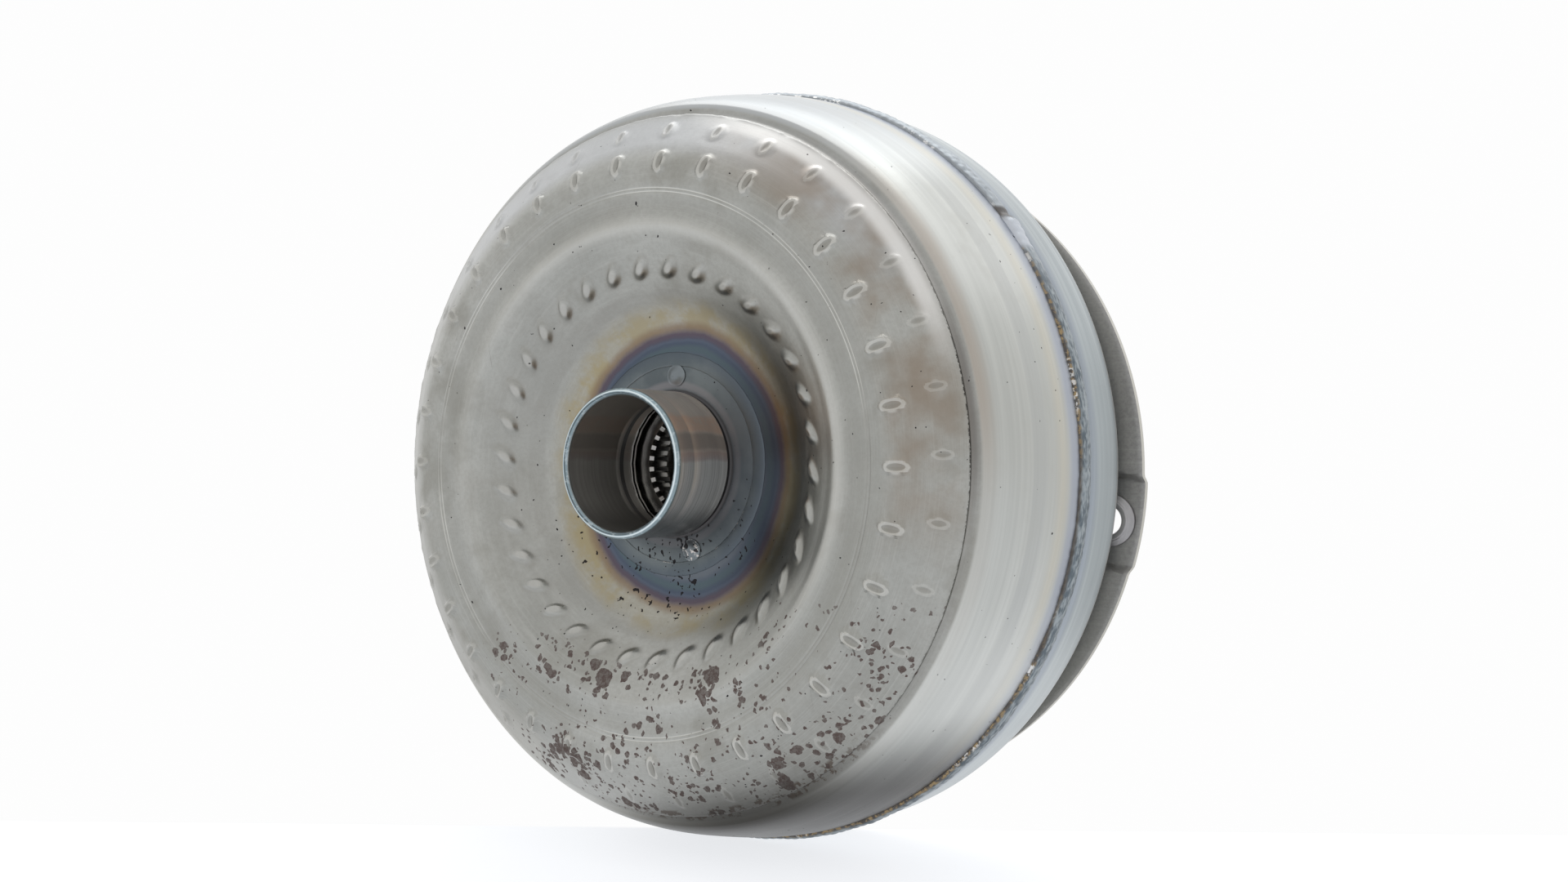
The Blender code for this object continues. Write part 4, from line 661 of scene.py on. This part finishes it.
def shell_steel():
    """Satin pressed steel with heat colours, stains, rust spots and a streaked band, and painted light
    and shade.
    """
    p = Paint("shell_steel")
    r, s = p.radius, p.station
    front = p.step(r, 119.5, 118.5)
    band = p.step(r, 120.6, 121.8)
    lean = p.noise(11.0, 2.0, 0.5) - 0.5

    cloud = p.noise(15.0, 4.0, 0.6)
    mottle = p.noise(70.0, 4.0, 0.65)
    brush = p.noise(1.0, 5.0, 0.65, p.round_the_axis(3.0, 1.6))
    colour = p.mix(p.step(cloud, 0.36, 0.66), (0.325, 0.328, 0.307), (0.405, 0.408, 0.386))
    colour = p.mix(p.step(mottle, 0.42, 0.72) * 0.35, colour, (0.30, 0.29, 0.265))
    fine = p.noise(700.0, 3.0, 0.7)
    colour = p.mix(p.step(fine, 0.42, 0.60) * 0.22, colour, (0.26, 0.255, 0.235))
    colour = p.mix(p.step(brush, 0.45, 0.75) * 0.35, colour, (0.49, 0.49, 0.465))
    smudge = p.step(p.noise(27.0, 4.0, 0.65), 0.52, 0.66)
    colour = p.mix(smudge * 0.44, colour, (0.235, 0.228, 0.20))
    colour = p.mix(p.zone(r + lean * 3.0, 54.5, 59.5, 1.2) * 0.28, colour, (0.25, 0.245, 0.225))
    colour = p.mix(p.zone(r, 84.5, 89.5, 1.4) * 0.28, colour, (0.28, 0.28, 0.26))
    # Painted shade on the right of the face between radii 83.5 and 97 mm.
    colour = p.mix(p.zone(r, 83.5, 97.0, 2.0) * p.step(p.x, 40.0, 85.0) * 0.25, colour,
                   (0.26, 0.258, 0.235))
    # Painted highlight on the crest ring, strongest at the top and right, faint at the lower left.
    crest_highlight = (0.18 + 0.24 * p.step(p.z, -60.0, -10.0)) * (0.3 + 0.7 * p.step(p.x + p.z * 0.5, -62.0, -5.0))
    colour = p.mix(p.zone(r, 77.5, 82.0, 2.2) * crest_highlight, colour,
                   (0.60, 0.595, 0.56))
    # Painted shade on the bowl's slope at the left, between radii 59 and 73 mm.
    colour = p.mix(p.zone(r, 59.0, 73.0, 3.0) * p.step(p.x, -20.0, -55.0) * 0.28, colour,
                   (0.27, 0.268, 0.25))
    scribed = p.highest(p.zone(r, 90.7, 91.0, 0.16), p.zone(r, 91.9, 92.2, 0.16)) * front
    worn = p.step(p.noise(9.0, 3.0), 0.38, 0.60)
    colour = p.mix(scribed * worn * 0.75, colour, (0.66, 0.66, 0.62))
    colour = p.mix(scribed * (1 - worn) * 0.35, colour, (0.22, 0.215, 0.20))
    # Painted sheen: lighter and bluer on the top of the face near its rim.
    top_sheen = p.step(p.z, 40.0, 95.0) * p.zone(r, 105.0, 118.5, 4.0)
    colour = p.mix(top_sheen * 0.35, colour, (0.52, 0.54, 0.59))
    scratch = p.node("ShaderNodeCombineXYZ", {}, {0: p.x * 1.6, 1: 0.0, 2: p.z * 0.035})
    scratch = p.step(p.noise(1.0, 1.0, 0.5, scratch), 0.74, 0.78) * p.zone(r, 70.0, 112.0, 6.0)
    colour = p.mix(scratch * front * 0.50, colour, (0.23, 0.225, 0.21))

    stain = p.step(p.noise(20.0, 4.0, 0.65), 0.40, 0.64)
    right = p.step(p.x, 10.0, 80.0) * p.step(p.z, -45.0, 10.0)
    colour = p.mix(p.zone(r, 99.0, 117.5, 4.5) * stain * right * front * 0.8, colour,
                   (0.25, 0.205, 0.16))
    # Painted highlight along the lip on the upper right.
    lip_highlight = p.step(p.z + p.x * 0.3, 60.0, 88.0) * p.step(p.x, 8.0, 50.0) * p.zone(r, 114.0, 118.2, 1.6)
    colour = p.mix(lip_highlight * 0.75, colour, (0.74, 0.73, 0.71))

    # Tab seats: painted shade in their troughs and round the inner domes, weaker on the left; painted
    # highlights round the outer two rows and on the inner domes.
    seat_shading = p.mark("seat_shade_mask")
    seen_flat = 0.55 + 0.45 * p.step(p.x, -60.0, 5.0)
    colour = p.mix(seat_shading * seen_flat * 0.55, colour, (0.24, 0.23, 0.205))
    rim = p.zone(seat_shading, 0.02, 0.45, 0.02) * (p.step(r, 80.0, 84.0) - p.step(r, 106.0, 108.0) * 0.5)
    colour = p.mix(rim * front * seen_flat * 0.42, colour, (0.64, 0.63, 0.59))
    colour = p.mix(p.step(seat_shading, -0.05, -0.8) * 0.35, colour, (0.56, 0.55, 0.52))

    heat = r + lean * 6.0 + (p.noise(60.0, 4.0, 0.7) - 0.5) * 2.6 + p.step(p.x, 22.0, -42.0) * 6.0 + p.step(p.z, -8.0, -44.0) * -2.0
    gold = p.zone(heat, 47.0, 57.0, 3.6) * (0.35 + 0.65 * p.step(mottle, 0.40, 0.60))
    colour = p.mix(gold * (0.78 + 0.18 * p.step(p.x, -10.0, -30.0)), colour, (0.32, 0.275, 0.17))
    colour = p.mix(p.zone(heat, 46.5, 50.0, 1.6) * 0.75, colour, (0.20, 0.14, 0.09))
    colour = p.mix(p.step(heat, 48.8, 46.0), colour, (0.102, 0.084, 0.104))
    colour = p.mix(p.step(heat, 46.0, 43.4) * 0.9, colour, (0.073, 0.095, 0.13))
    colour = p.mix(p.zone(heat, 39.5, 42.0, 1.0) * 0.5, colour, (0.095, 0.135, 0.135))
    colour = p.mix(p.zone(heat, 43.4, 44.4, 0.5) * 0.3, colour, (0.12, 0.14, 0.185))
    colour = p.mix(p.step(heat, 40.5, 37.5) * 0.6, colour, (0.15, 0.165, 0.175))
    colour = p.mix(p.step(heat, 46.5, 43.0) * p.step(p.x, 14.0, 34.0) * 0.45, colour,
                   (0.045, 0.05, 0.065))

    streak = p.noise(1.0, 5.0, 0.6, p.round_the_axis(0.8, 0.32))
    pale = p.mix(p.step(streak, 0.34, 0.68), (0.465, 0.475, 0.455), (0.555, 0.565, 0.54))
    # Painted light on the band: darker and bluer at the top, a painted highlight on the upper right and
    # painted shade on the right side.
    pale = p.mix(p.step(p.z, 78.0, 122.0) * 0.8, pale, (0.375, 0.40, 0.42))
    pale = p.mix(p.zone(p.z, 52.0, 84.0, 12.0) * p.step(p.x, 60.0, 100.0) * 0.5, pale,
                 (0.66, 0.67, 0.65))
    pale = p.mix(p.zone(p.z, -40.0, 45.0, 30.0) * p.step(p.x, 80.0, 115.0) * 0.5, pale,
                 (0.38, 0.385, 0.365))
    pale = p.mix(p.zone(s, 43.5, 50.5, 0.5) * 0.30, pale, (0.37, 0.38, 0.38))
    pale = p.mix(p.step(mottle, 0.5, 0.75) * 0.25, pale, (0.40, 0.40, 0.37))
    tint = s + lean * 4.0
    sunny = p.zone(p.z + lean * 20.0, 8.0, 88.0, 22.0) * p.step(p.x, 30.0, 80.0)
    pale = p.mix(p.zone(tint, 24.5, 27.5, 3.2) * (0.15 + sunny * 0.55), pale, (0.34, 0.265, 0.205))
    pale = p.mix(p.zone(tint, 56.5, 61.0, 2.6) * 0.35, pale, (0.56, 0.51, 0.40))
    pale = p.mix(p.zone(tint, 63.0, 69.5, 2.2) * 0.60, pale, (0.31, 0.345, 0.44))
    # Painted dark reflection near the band's bottom.
    low_dark_reflection = p.step(p.z + lean * 16.0 + p.noise(1.0, 3.0, 0.6, p.round_the_axis(2.0, 0.25)) * 14.0,
                 -96.0, -112.0) * p.step(s, 46.0, 66.0)
    pale = p.mix(low_dark_reflection * 0.9, pale, (0.05, 0.048, 0.05))
    colour = p.mix(band, colour, pale)
    # Painted shade in the groove between face and band, deeper on the upper right; the dark crumbs in it
    # are stronger there too.
    shade = p.step(p.x, -10.0, 60.0) * p.zone(p.z, -10.0, 48.0, 20.0)
    recess = p.zone(r, 118.2, 121.0, 0.5) * p.zone(s, 22.2, 24.9, 0.5)
    colour = p.mix(recess * (0.25 + shade * 0.55), colour, (0.16, 0.15, 0.14))
    crumbs = p.step(p.noise(900.0, 2.0, 0.6), 0.46, 0.56) * (0.40 + shade * 0.60)
    colour = p.mix(p.zone(r, 118.2, 119.1, 0.25) * p.zone(s, 21.6, 23.0, 0.3) * crumbs, colour,
                   (0.03, 0.027, 0.025))
    scale = p.zone(r, 116.6, 120.4, 0.6) * p.step(p.z, -78.0, -98.0) * p.step(p.x, -30.0, 5.0)
    scale = scale * p.step(p.noise(230.0, 3.0, 0.7), 0.50, 0.57)
    colour = p.mix(scale * 0.85, colour, (0.10, 0.07, 0.052))
    # Painted light on the shell's lower left.
    colour = p.mix(p.step(p.z, -84.0, -114.0) * p.step(p.x, 20.0, -44.0) * 0.3, colour,
                   (0.62, 0.62, 0.60))

    low = p.step(p.z + lean * 24.0, -44.0, -70.0) * p.step(p.x, -86.0, -58.0)
    right_low = p.step(p.x, 30.0, 56.0) * p.step(p.z, -28.0, -50.0)
    field = p.highest(low, right_low) * p.step(r, 62.0, 72.0) * p.step(s, 27.0, 23.0)
    middle = p.zone(p.x, -52.0, 44.0, 22.0)
    clump = p.noise(52.0, 2.0, 0.55) * 0.75 + 0.115 + middle * 0.07 + (field - 1.0) * 0.4
    bent = p.node("ShaderNodeVectorMath", {"operation": "MULTIPLY_ADD"}, {
        0: p.node("ShaderNodeTexNoise", {}, {"Vector": p.place, "Scale": 420.0}, "Color"),
        1: (0.0027, 0.0027, 0.0027), 2: p.place,
    })
    away, chance = p.cells(230.0, bent)
    spots = p.step((clump - 0.50) * 2.4 + (chance - 0.5) * 0.60 - away, 0.0, 0.05)
    away, chance = p.cells(480.0, bent)
    specks = p.step((clump - 0.46) * 1.8 + (chance - 0.60) * 1.0 - away, 0.0, 0.05)
    away, chance = p.cells(88.0, bent)
    patches = p.step((clump - 0.56) * 2.2 + (chance - 0.78) * 1.7 - away, 0.0, 0.03)
    rust = p.highest(p.highest(spots, patches), specks) * field
    under = p.step(r, 70.0, 40.0) * p.step(p.z, -6.0, -34.0)
    flock = p.step(p.noise(80.0, 2.0, 0.5), 0.46, 0.62)
    dots = p.step(p.noise(560.0, 1.0, 0.5) + under * (flock * 0.13 + 0.06), 0.78, 0.80)
    colour = p.mix(rust * (0.70 + 0.30 * p.step(fine, 0.40, 0.60)), colour, (0.13, 0.10, 0.092))
    colour = p.mix(dots * 0.95, colour, (0.028, 0.026, 0.028))
    # Painted light on the band's lower right.
    bright = p.zone(p.z, -96.0, -54.0, 18.0) * p.step(p.x, 20.0, 60.0) * band
    colour = p.mix(bright * 0.5, colour, (0.62, 0.63, 0.61))
    colour = p.mix(p.step(p.z - p.x * 0.15, -108.0, -124.0) * band * 0.35, colour,
                   (0.20, 0.175, 0.13))
    # Painted shade, near black, on the shell's underside by the floor, deeper to the right.
    underside_shade = p.step(p.z + lean * 14.0 - p.x * 0.30, -106.0, -130.0)
    colour = p.mix(underside_shade * 0.93, colour, (0.035, 0.033, 0.030))

    marks = p.highest(rust, dots)
    roughness = 0.28 + cloud * 0.12 + marks * 0.3 + (brush - 0.5) * 0.14
    height = brush * 0.5 + fine * 0.35 + marks * -0.6 + mottle * 0.6
    return p.finish(colour, roughness, height, 0.05, 0.7)


def ground_steel():
    """Ground and polished sleeve: wear rings, painted reflections and shade, a blued foot, a broken edge
    in rings.
    """
    p = Paint("ground_steel", 0.75)
    s, r = p.station, p.radius
    rings = p.noise(1.0, 5.0, 0.7, p.round_the_axis(0.35, 1.3))
    cloud = p.noise(60.0, 4.0, 0.6)
    grain = p.noise(420.0, 3.0, 0.7)
    colour = p.mix(p.step(rings, 0.36, 0.64), (0.56, 0.55, 0.52), (0.78, 0.77, 0.74))
    # Painted reflections in bands up the sleeve's side: warm light above the middle crossed by a dark
    # brown and a copper band, a pink band just above the middle, and painted shade low down.
    lean = p.z + (cloud - 0.5) * 4.0
    high = p.step(lean, 1.5, 3.5)
    colour = p.mix(high * 0.75, colour, (0.66, 0.55, 0.46))
    colour = p.mix(p.zone(lean, 4.5, 10.4, 1.0) * 0.60, colour, (0.27, 0.22, 0.19))
    colour = p.mix(p.zone(lean, 10.8, 16.0, 1.0) * 0.72, colour, (0.70, 0.48, 0.355))
    colour = p.mix(p.step(lean, -12.0, -21.0) * 0.85, colour, (0.11, 0.115, 0.118))
    colour = p.mix(p.zone(lean, 1.0, 4.0, 0.7) * 0.5, colour, (0.42, 0.28, 0.26))
    colour = p.mix(p.step(grain, 0.46, 0.66) * p.step(p.z, 9.0, 15.0) * 0.5, colour,
                   (0.62, 0.56, 0.49))
    mouth = p.step(s, 2.0, 1.4)
    colour = p.mix(mouth, colour, (0.24, 0.31, 0.34))
    colour = p.mix(mouth * p.zone(r, 23.9, 24.3, 0.15), colour, (0.70, 0.78, 0.80))
    colour = p.mix(mouth * p.zone(r, 23.3, 23.6, 0.12), colour, (0.07, 0.09, 0.10))
    colour = p.mix(mouth * p.step(grain, 0.52, 0.66) * 0.4, colour, (0.62, 0.68, 0.70))
    # Painted shade at the step into the relief groove at the sleeve's foot.
    colour = p.mix(p.zone(s, 27.0, 27.9, 0.15) * 0.75, colour, (0.16, 0.155, 0.15))
    # Painted shade inside the bore.
    inside = p.step(r, 22.9, 22.7)
    colour = p.mix(inside * 0.7, colour, (0.22, 0.21, 0.19))
    disc = p.step(r, 24.9, 25.6) * p.step(s, 28.0, 28.8)
    colour = p.mix(disc, colour, blued_steel(p, cloud))
    # Painted shade, near black, in the relief groove at the sleeve's foot.
    foot = p.zone(s, 27.9, 30.0, 0.2) * p.step(r, 26.0, 25.3)
    colour = p.mix(foot, colour, (0.06, 0.058, 0.06))
    dots = black_dots(p) * disc
    colour = p.mix(dots, colour, (0.028, 0.026, 0.028))
    roughness = 0.26 + rings * 0.12 + disc * 0.20 + dots * 0.3
    height = rings * 0.6 + cloud * disc * 0.6
    return p.finish(colour, roughness, height, 0.03, 0.6)


def blued_steel(p, cloud):
    """Colour of the steel round the hub: grey blue, duller and bluer away from the sleeve, painted shadow
    under it.
    """
    colour = p.mix(p.step(cloud, 0.35, 0.65), (0.113, 0.133, 0.143), (0.17, 0.193, 0.20))
    colour = p.mix(p.zone(p.radius, 26.0, 28.5, 0.8) * 0.5, colour, (0.30, 0.28, 0.29))
    colour = p.mix(p.step(p.x, 12.0, 30.0) * 0.55, colour, (0.075, 0.085, 0.10))
    # Painted shadow on the flange under the sleeve.
    colour = p.mix(p.step(p.radius, 34.0, 27.0) * p.step(p.z, -10.0, -22.0) * 0.6, colour,
                   (0.05, 0.055, 0.06))
    return p.mix(p.step(p.radius, 34.0, 38.5) * 0.6, colour, (0.095, 0.115, 0.14))


def black_dots(p):
    """Flecks of spatter, most of them under the sleeve."""
    low = p.step(p.z, 0.0, -16.0)
    flock = p.step(p.noise(80.0, 2.0, 0.5), 0.46, 0.62)
    return p.step(p.noise(560.0, 1.0, 0.5) + low * (flock * 0.10 + 0.045), 0.755, 0.775) * 0.95


def hub_joint():
    """Smooth blued fusion joint and lumps on the hub flange, with bright crumbs on the lower."""
    p = Paint("hub_joint")
    cloud = p.noise(60.0, 4.0, 0.6)
    colour = blued_steel(p, cloud)
    lump = p.step(p.radius, 34.4, 33.4)
    colour = p.mix(lump * 0.35, colour, (0.34, 0.37, 0.39))
    crumbs = p.step(p.noise(620.0, 2.0, 0.6), 0.56, 0.62) * p.step(p.z, 0.0, -20.0) * lump
    colour = p.mix(crumbs * 0.8, colour, (0.75, 0.70, 0.66))
    colour = p.mix(black_dots(p), colour, (0.028, 0.026, 0.028))
    return p.finish(colour, 0.40 + cloud * 0.15, cloud + crumbs * 0.5, 0.06, 0.6)


def weld_metal():
    """Bead: blue-grey ripples, a dark edge with gold and silver crumbs, slits, a bright start."""
    p = Paint("weld_metal")
    s = p.station
    crumbs = p.noise(520.0, 3.0, 0.65)
    scale = p.noise(95.0, 3.0, 0.6)
    ripple = p.noise(1.0, 2.0, 0.5, p.round_the_axis(46.0, 0.9))
    wander = (p.noise(40.0, 3.0, 0.6) - 0.5) * 2.0
    colour = p.mix(p.step(scale * 0.5 + ripple * 0.5, 0.40, 0.60), (0.12, 0.145, 0.165),
                   (0.33, 0.365, 0.385))
    # Painted light from above: the bead is lighter on top, its dark edge and gold crumbs fainter there
    # and its silver crumbs more.
    high = p.step(p.z, 40.0, 95.0)
    colour = p.mix(high * 0.6, colour, (0.42, 0.45, 0.48))
    edge = p.zone(s + wander * 0.5, 67.2, 68.8, 0.5)
    colour = p.mix(edge * (0.85 - high * 0.6), colour, (0.085, 0.07, 0.058))
    gilt = p.step(p.noise(13.0, 2.0, 0.5), 0.40, 0.54) * (1 - high)
    colour = p.mix(edge * p.step(crumbs, 0.47, 0.58) * gilt, colour, (0.34, 0.255, 0.145))
    silver = p.step(p.noise(24.0, 2.0, 0.5) + high * 0.10, 0.54, 0.61)
    silver = silver * p.step(p.noise(640.0, 2.0, 0.6), 0.52, 0.60)
    colour = p.mix(p.zone(s + wander * 0.4, 67.0, 68.8, 0.4) * silver, colour, (0.70, 0.70, 0.69))
    start = p.step(p.x, 0.0, 20.0)
    colour = p.mix(p.zone(p.z + wander, 72.0, 81.8, 1.6) * start * 0.8, colour, (0.56, 0.59, 0.64))
    burnt = p.zone(p.z + wander, 82.4, 86.0, 0.8) * start
    colour = p.mix(burnt * 0.85, colour, (0.10, 0.088, 0.08))
    dashes = p.step(p.noise(1.0, 2.0, 0.5, p.round_the_axis(14.0, 0.12)), 0.49, 0.54)
    slit = p.zone(s + wander * 0.6, 74.1, 74.7, 0.2) * dashes
    colour = p.mix(slit, colour, (0.012, 0.012, 0.012))
    roughness = 0.34 + scale * 0.20 + slit * 0.3
    return p.finish(colour, roughness, crumbs * 0.35 + ripple * 0.7 + scale * 0.5 - slit, 0.3, 0.8)


def rolled_steel():
    """Cover steel: pale streaks that run round it, rolling marks, a bluish cast, painted light and shade.
    """
    p = Paint("rolled_steel")
    streak = p.noise(1.0, 5.0, 0.6, p.round_the_axis(0.8, 0.35))
    cloud = p.noise(26.0, 4.0, 0.6)
    colour = p.mix(p.step(streak, 0.36, 0.66), (0.36, 0.395, 0.41), (0.465, 0.50, 0.51))
    # Painted shade on the right side, as on the band.
    colour = p.mix(p.zone(p.z, -40.0, 45.0, 30.0) * p.step(p.x, 80.0, 115.0) * 0.5, colour,
                   (0.30, 0.335, 0.345))
    colour = p.mix(p.step(cloud, 0.5, 0.75) * 0.35, colour, (0.32, 0.34, 0.36))
    # Painted light on the cover's lower part.
    colour = p.mix(p.step(p.z, -36.0, -84.0) * 0.65, colour, (0.61, 0.65, 0.665))
    near_weld = p.zone(p.station, 74.0, 80.0, 2.5)
    colour = p.mix(near_weld * 0.5, colour, (0.28, 0.31, 0.37))
    # Painted highlight along the rounded corner.
    colour = p.mix(p.zone(p.station, 97.0, 104.0, 1.0) * 0.55, colour, (0.60, 0.59, 0.54))
    fine = p.noise(1.0, 4.0, 0.7, p.round_the_axis(2.5, 2.2))
    return p.finish(colour, 0.34 + cloud * 0.16, fine + streak * 0.5, 0.04, 0.7)


def plate_steel():
    """Rolled plate: warm grey, fine grain, rolling streaks, scuffs, a light sheared edge, painted light
    and shade.
    """
    p = Paint("plate_steel", 0.9)
    grain = p.noise(800.0, 4.0, 0.65)
    roll = p.node("ShaderNodeCombineXYZ", {}, {0: p.x * 0.03, 1: p.y * 0.5, 2: p.z * 0.9})
    roll = p.noise(1.0, 4.0, 0.65, roll)
    scuff = p.noise(18.0, 6.0, 0.75, distortion=0.6)
    ring = p.noise(1.0, 4.0, 0.6, p.round_the_axis(0.7, 1.1))
    colour = p.mix(p.step(grain, 0.3, 0.7), (0.295, 0.291, 0.285), (0.37, 0.364, 0.353))
    colour = p.mix(p.step(roll, 0.48, 0.70) * 0.35, colour, (0.45, 0.445, 0.43))
    colour = p.mix(p.step(scuff, 0.52, 0.66) * 0.45, colour, (0.23, 0.227, 0.222))
    colour = p.mix(p.zone(p.radius, 62.0, 74.0, 3.0) * p.step(ring, 0.45, 0.6) * 0.4, colour,
                   (0.24, 0.235, 0.245))
    # Painted shade towards the bottom of the plate and painted light towards its top.
    colour = p.mix(p.step(p.z, -20.0, -75.0) * 0.55, colour, (0.235, 0.235, 0.215))
    colour = p.mix(p.step(p.z, 20.0, 70.0) * 0.25, colour, (0.44, 0.435, 0.425))
    turn = p.split(p.node("ShaderNodeNewGeometry", {}, {}, "Normal"))[1]
    edge = p.step(abs(turn), 0.75, 0.35) * p.step(p.radius, 116.0, 119.0)
    colour = p.mix(edge * 0.8, colour, (0.52, 0.51, 0.46))
    return p.finish(colour, 0.36 + scuff * 0.2 - edge * 0.1, grain * 0.5 + roll, 0.04, 0.6)


def plain_metal(name, dark, light, roughness, scale=60.0, depth=0.03, metallic=1.0, marks=1.2):
    """Metal with clouds of two shades and faint turned marks, for the smaller pieces."""
    p = Paint(name, metallic)
    cloud = p.noise(scale, 4.0, 0.6)
    rings = p.noise(1.0, 4.0, 0.65, p.round_the_axis(1.0, marks))
    colour = p.mix(p.step(cloud, 0.3, 0.7), dark, light)
    colour = p.mix(p.step(rings, 0.55, 0.75) * 0.35, colour, tuple(min(1.0, 1.25 * v) for v in light))
    return p.finish(colour, roughness + cloud * 0.12, rings * 0.6 + cloud * 0.5, depth, 0.6)


def dull_solid(name, dark, light, roughness, scale, depth):
    """Plastic or paper with a fine fibrous or pebbled grain."""
    p = Paint(name, 0.0)
    grain = p.noise(scale, 4.0, 0.7)
    cloud = p.noise(scale * 0.08, 3.0, 0.5)
    colour = p.mix(p.step(grain * 0.6 + cloud * 0.4, 0.35, 0.65), dark, light)
    return p.finish(colour, roughness + cloud * 0.1, grain, depth, 0.8)


# The part


shell = impeller_shell()
hub = pump_hub()
hub_bead = ring_bead("hub_weld_skin", 36.15, 29.40, 2.6, 0.32, 60, 11, True, "hub_weld")
bosses = [spot_boss(1, -88.0), spot_boss(2, 74.0)]
rim_bead = ring_bead("rim_weld_skin", 132.95, 71.9, 3.95, 2.62, 260, 21, False, "rim_weld")
cover = front_cover()
plate = drive_plate()
nuts = [plate_nut(number) for number in (1, 2, 3)]
pilot = crank_pilot()
race = inner_race()
turbine_splines = turbine_hub()

bright = plain_metal("machined_steel", (0.42, 0.42, 0.41), (0.60, 0.60, 0.58), 0.22)
hard = plain_metal("hardened_steel", (0.30, 0.29, 0.28), (0.46, 0.45, 0.43), 0.20, 90.0, 0.02)
wear(shell, shell_steel())
wear(hub, ground_steel())
wear(hub_bead, *bosses, hub_joint())
wear(rim_bead, weld_metal())
wear(cover, rolled_steel())
wear(plate, plate_steel())
wear(pilot, turbine_splines, bright)
wear(*nuts, plain_metal("nut_steel", (0.28, 0.275, 0.28), (0.42, 0.415, 0.42), 0.38))
wear(race, hard)

INSIDE = {
    "satin_steel": plain_metal("satin_steel", (0.28, 0.27, 0.24), (0.44, 0.43, 0.39), 0.36, 40.0),
    "machined_steel": bright,
    "hardened_steel": hard,
    "dark_steel": plain_metal("dark_steel", (0.07, 0.07, 0.07), (0.15, 0.145, 0.14), 0.42, 50.0,
                              0.05, 0.85),
    "weld_metal": rim_bead.data.materials[0],
    "rolled_steel": cover.data.materials[0],
    "cast_alloy": plain_metal("cast_alloy", (0.50, 0.50, 0.48), (0.66, 0.66, 0.64), 0.45, 160.0,
                              0.12, 0.9, 0.1),
    "spring_steel": plain_metal("spring_steel", (0.07, 0.08, 0.10), (0.17, 0.18, 0.20), 0.30, 120.0),
    "bearing_polymer": dull_solid("bearing_polymer", (0.02, 0.02, 0.022), (0.05, 0.05, 0.055),
                                  0.5, 700.0, 0.05),
    "friction_paper": dull_solid("friction_paper", (0.09, 0.06, 0.04), (0.17, 0.12, 0.08), 0.8,
                                 1400.0, 0.08),
}
for node_name, node in frame["nodes"].items():
    wear(node, INSIDE[SLOTS[node_name]])


# Floor, light and camera


FLOOR_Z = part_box("rim_weld")[0].z
BACKGROUND = 0.985
VIEW_RIGHT = (0.82686, 0.56233, 0.00928)
VIEW_FORWARD = (-0.56241, 0.82675, 0.01364)
TABLE_EDGE = -0.03


def stage_floor():
    """Pale table under the part, whose far part is as white as the background behind it."""
    reach = 3.0
    corners = np.array([(-reach, -reach), (reach, -reach), (reach, reach), (-reach, reach)])
    mesh = bpy.data.meshes.new("floor")
    points = np.column_stack([corners, np.full(4, FLOOR_Z)])
    mesh.from_pydata(points.tolist(), [], [(0, 1, 2, 3)])
    floor = bpy.data.objects.new("floor", mesh)
    bpy.context.scene.collection.objects.link(floor)
    p = Paint("pale_floor", 0.0)
    camera, glossy, through = (p.node("ShaderNodeLightPath", {}, {}, kind) for kind in (
        "Is Camera Ray", "Is Glossy Ray", "Is Transmission Ray"))
    rays = p.highest(camera, p.highest(glossy, through))
    p.finish(p.mix(rays, (0.88, 0.88, 0.89), (0.22, 0.22, 0.225)), 0.8)
    glow = p.mix(rays, (0.0, 0.0, 0.0), (0.772, 0.787, 0.812))
    p.tree.links.new(glow.socket, p.shader.inputs["Emission Color"])
    p.shader.inputs["Emission Strength"].default_value = 1.0
    away = (p.x * VIEW_FORWARD[0] + p.y * VIEW_FORWARD[1]) * MM - TABLE_EDGE
    beyond = p.step(away, -0.0015, 0.0015) * rays
    white = p.node("ShaderNodeEmission", {}, {"Color": (1.0, 1.0, 1.0, 1.0),
                                              "Strength": BACKGROUND}, "Emission")
    principled = Flow(p, p.shader.outputs[0])
    both = p.node("ShaderNodeMixShader", {}, {0: beyond, 1: principled, 2: white})
    p.tree.links.new(both.socket, p.tree.nodes["Material Output"].inputs["Surface"])
    wear(floor, p.material)


def light_world():
    """White to the camera; else pale in front, brighter behind and above, as in a light room."""
    world = bpy.data.worlds.new("studio")
    world.use_nodes = True
    bpy.context.scene.world = world
    g = Graph(world.node_tree)
    rays = g.node("ShaderNodeLightPath", {}, {}, "Is Camera Ray")
    x, y, z = g.split(g.node("ShaderNodeTexCoord", {}, {}, "Generated"))
    window = g.step(y * 0.72 + z * 0.62 - x * 0.30, 0.05, 0.95)
    light = 0.96 + window * 0.22
    strength = rays * BACKGROUND + (1 - rays) * light
    g.tree.links.new(strength.socket, g.tree.nodes["Background"].inputs["Strength"])
    g.tree.nodes["Background"].inputs["Color"].default_value = (1.0, 1.0, 1.0, 1.0)


def soft_lamp(name, location, size, power):
    """Square area lamp that faces the part's middle."""
    light = bpy.data.lights.new(name, "AREA")
    light.size = size
    light.energy = power
    lamp = bpy.data.objects.new(name, light)
    lamp.location = location
    lamp.rotation_euler = (-lamp.location).to_track_quat("-Z", "Y").to_euler()
    bpy.context.scene.collection.objects.link(lamp)


def place_camera():
    """Camera level with the turning axis, to the right of the hub and looking past it."""
    data = bpy.data.cameras.new("camera")
    data.lens = 37.52
    data.sensor_width = 36.0
    camera = bpy.data.objects.new("camera", data)
    up = np.cross(VIEW_RIGHT, VIEW_FORWARD)
    turn = np.column_stack([VIEW_RIGHT, up, -np.array(VIEW_FORWARD)])
    camera.matrix_world = Matrix.LocRotScale((0.3478, -0.5361, 0.0006), Matrix(turn), None)
    bpy.context.scene.collection.objects.link(camera)
    bpy.context.scene.camera = camera


stage_floor()
light_world()
soft_lamp("top_panel", (-0.2, 0.35, 1.3), 1.2, 5.0)
place_camera()
bpy.context.scene.view_settings.view_transform = "Standard"
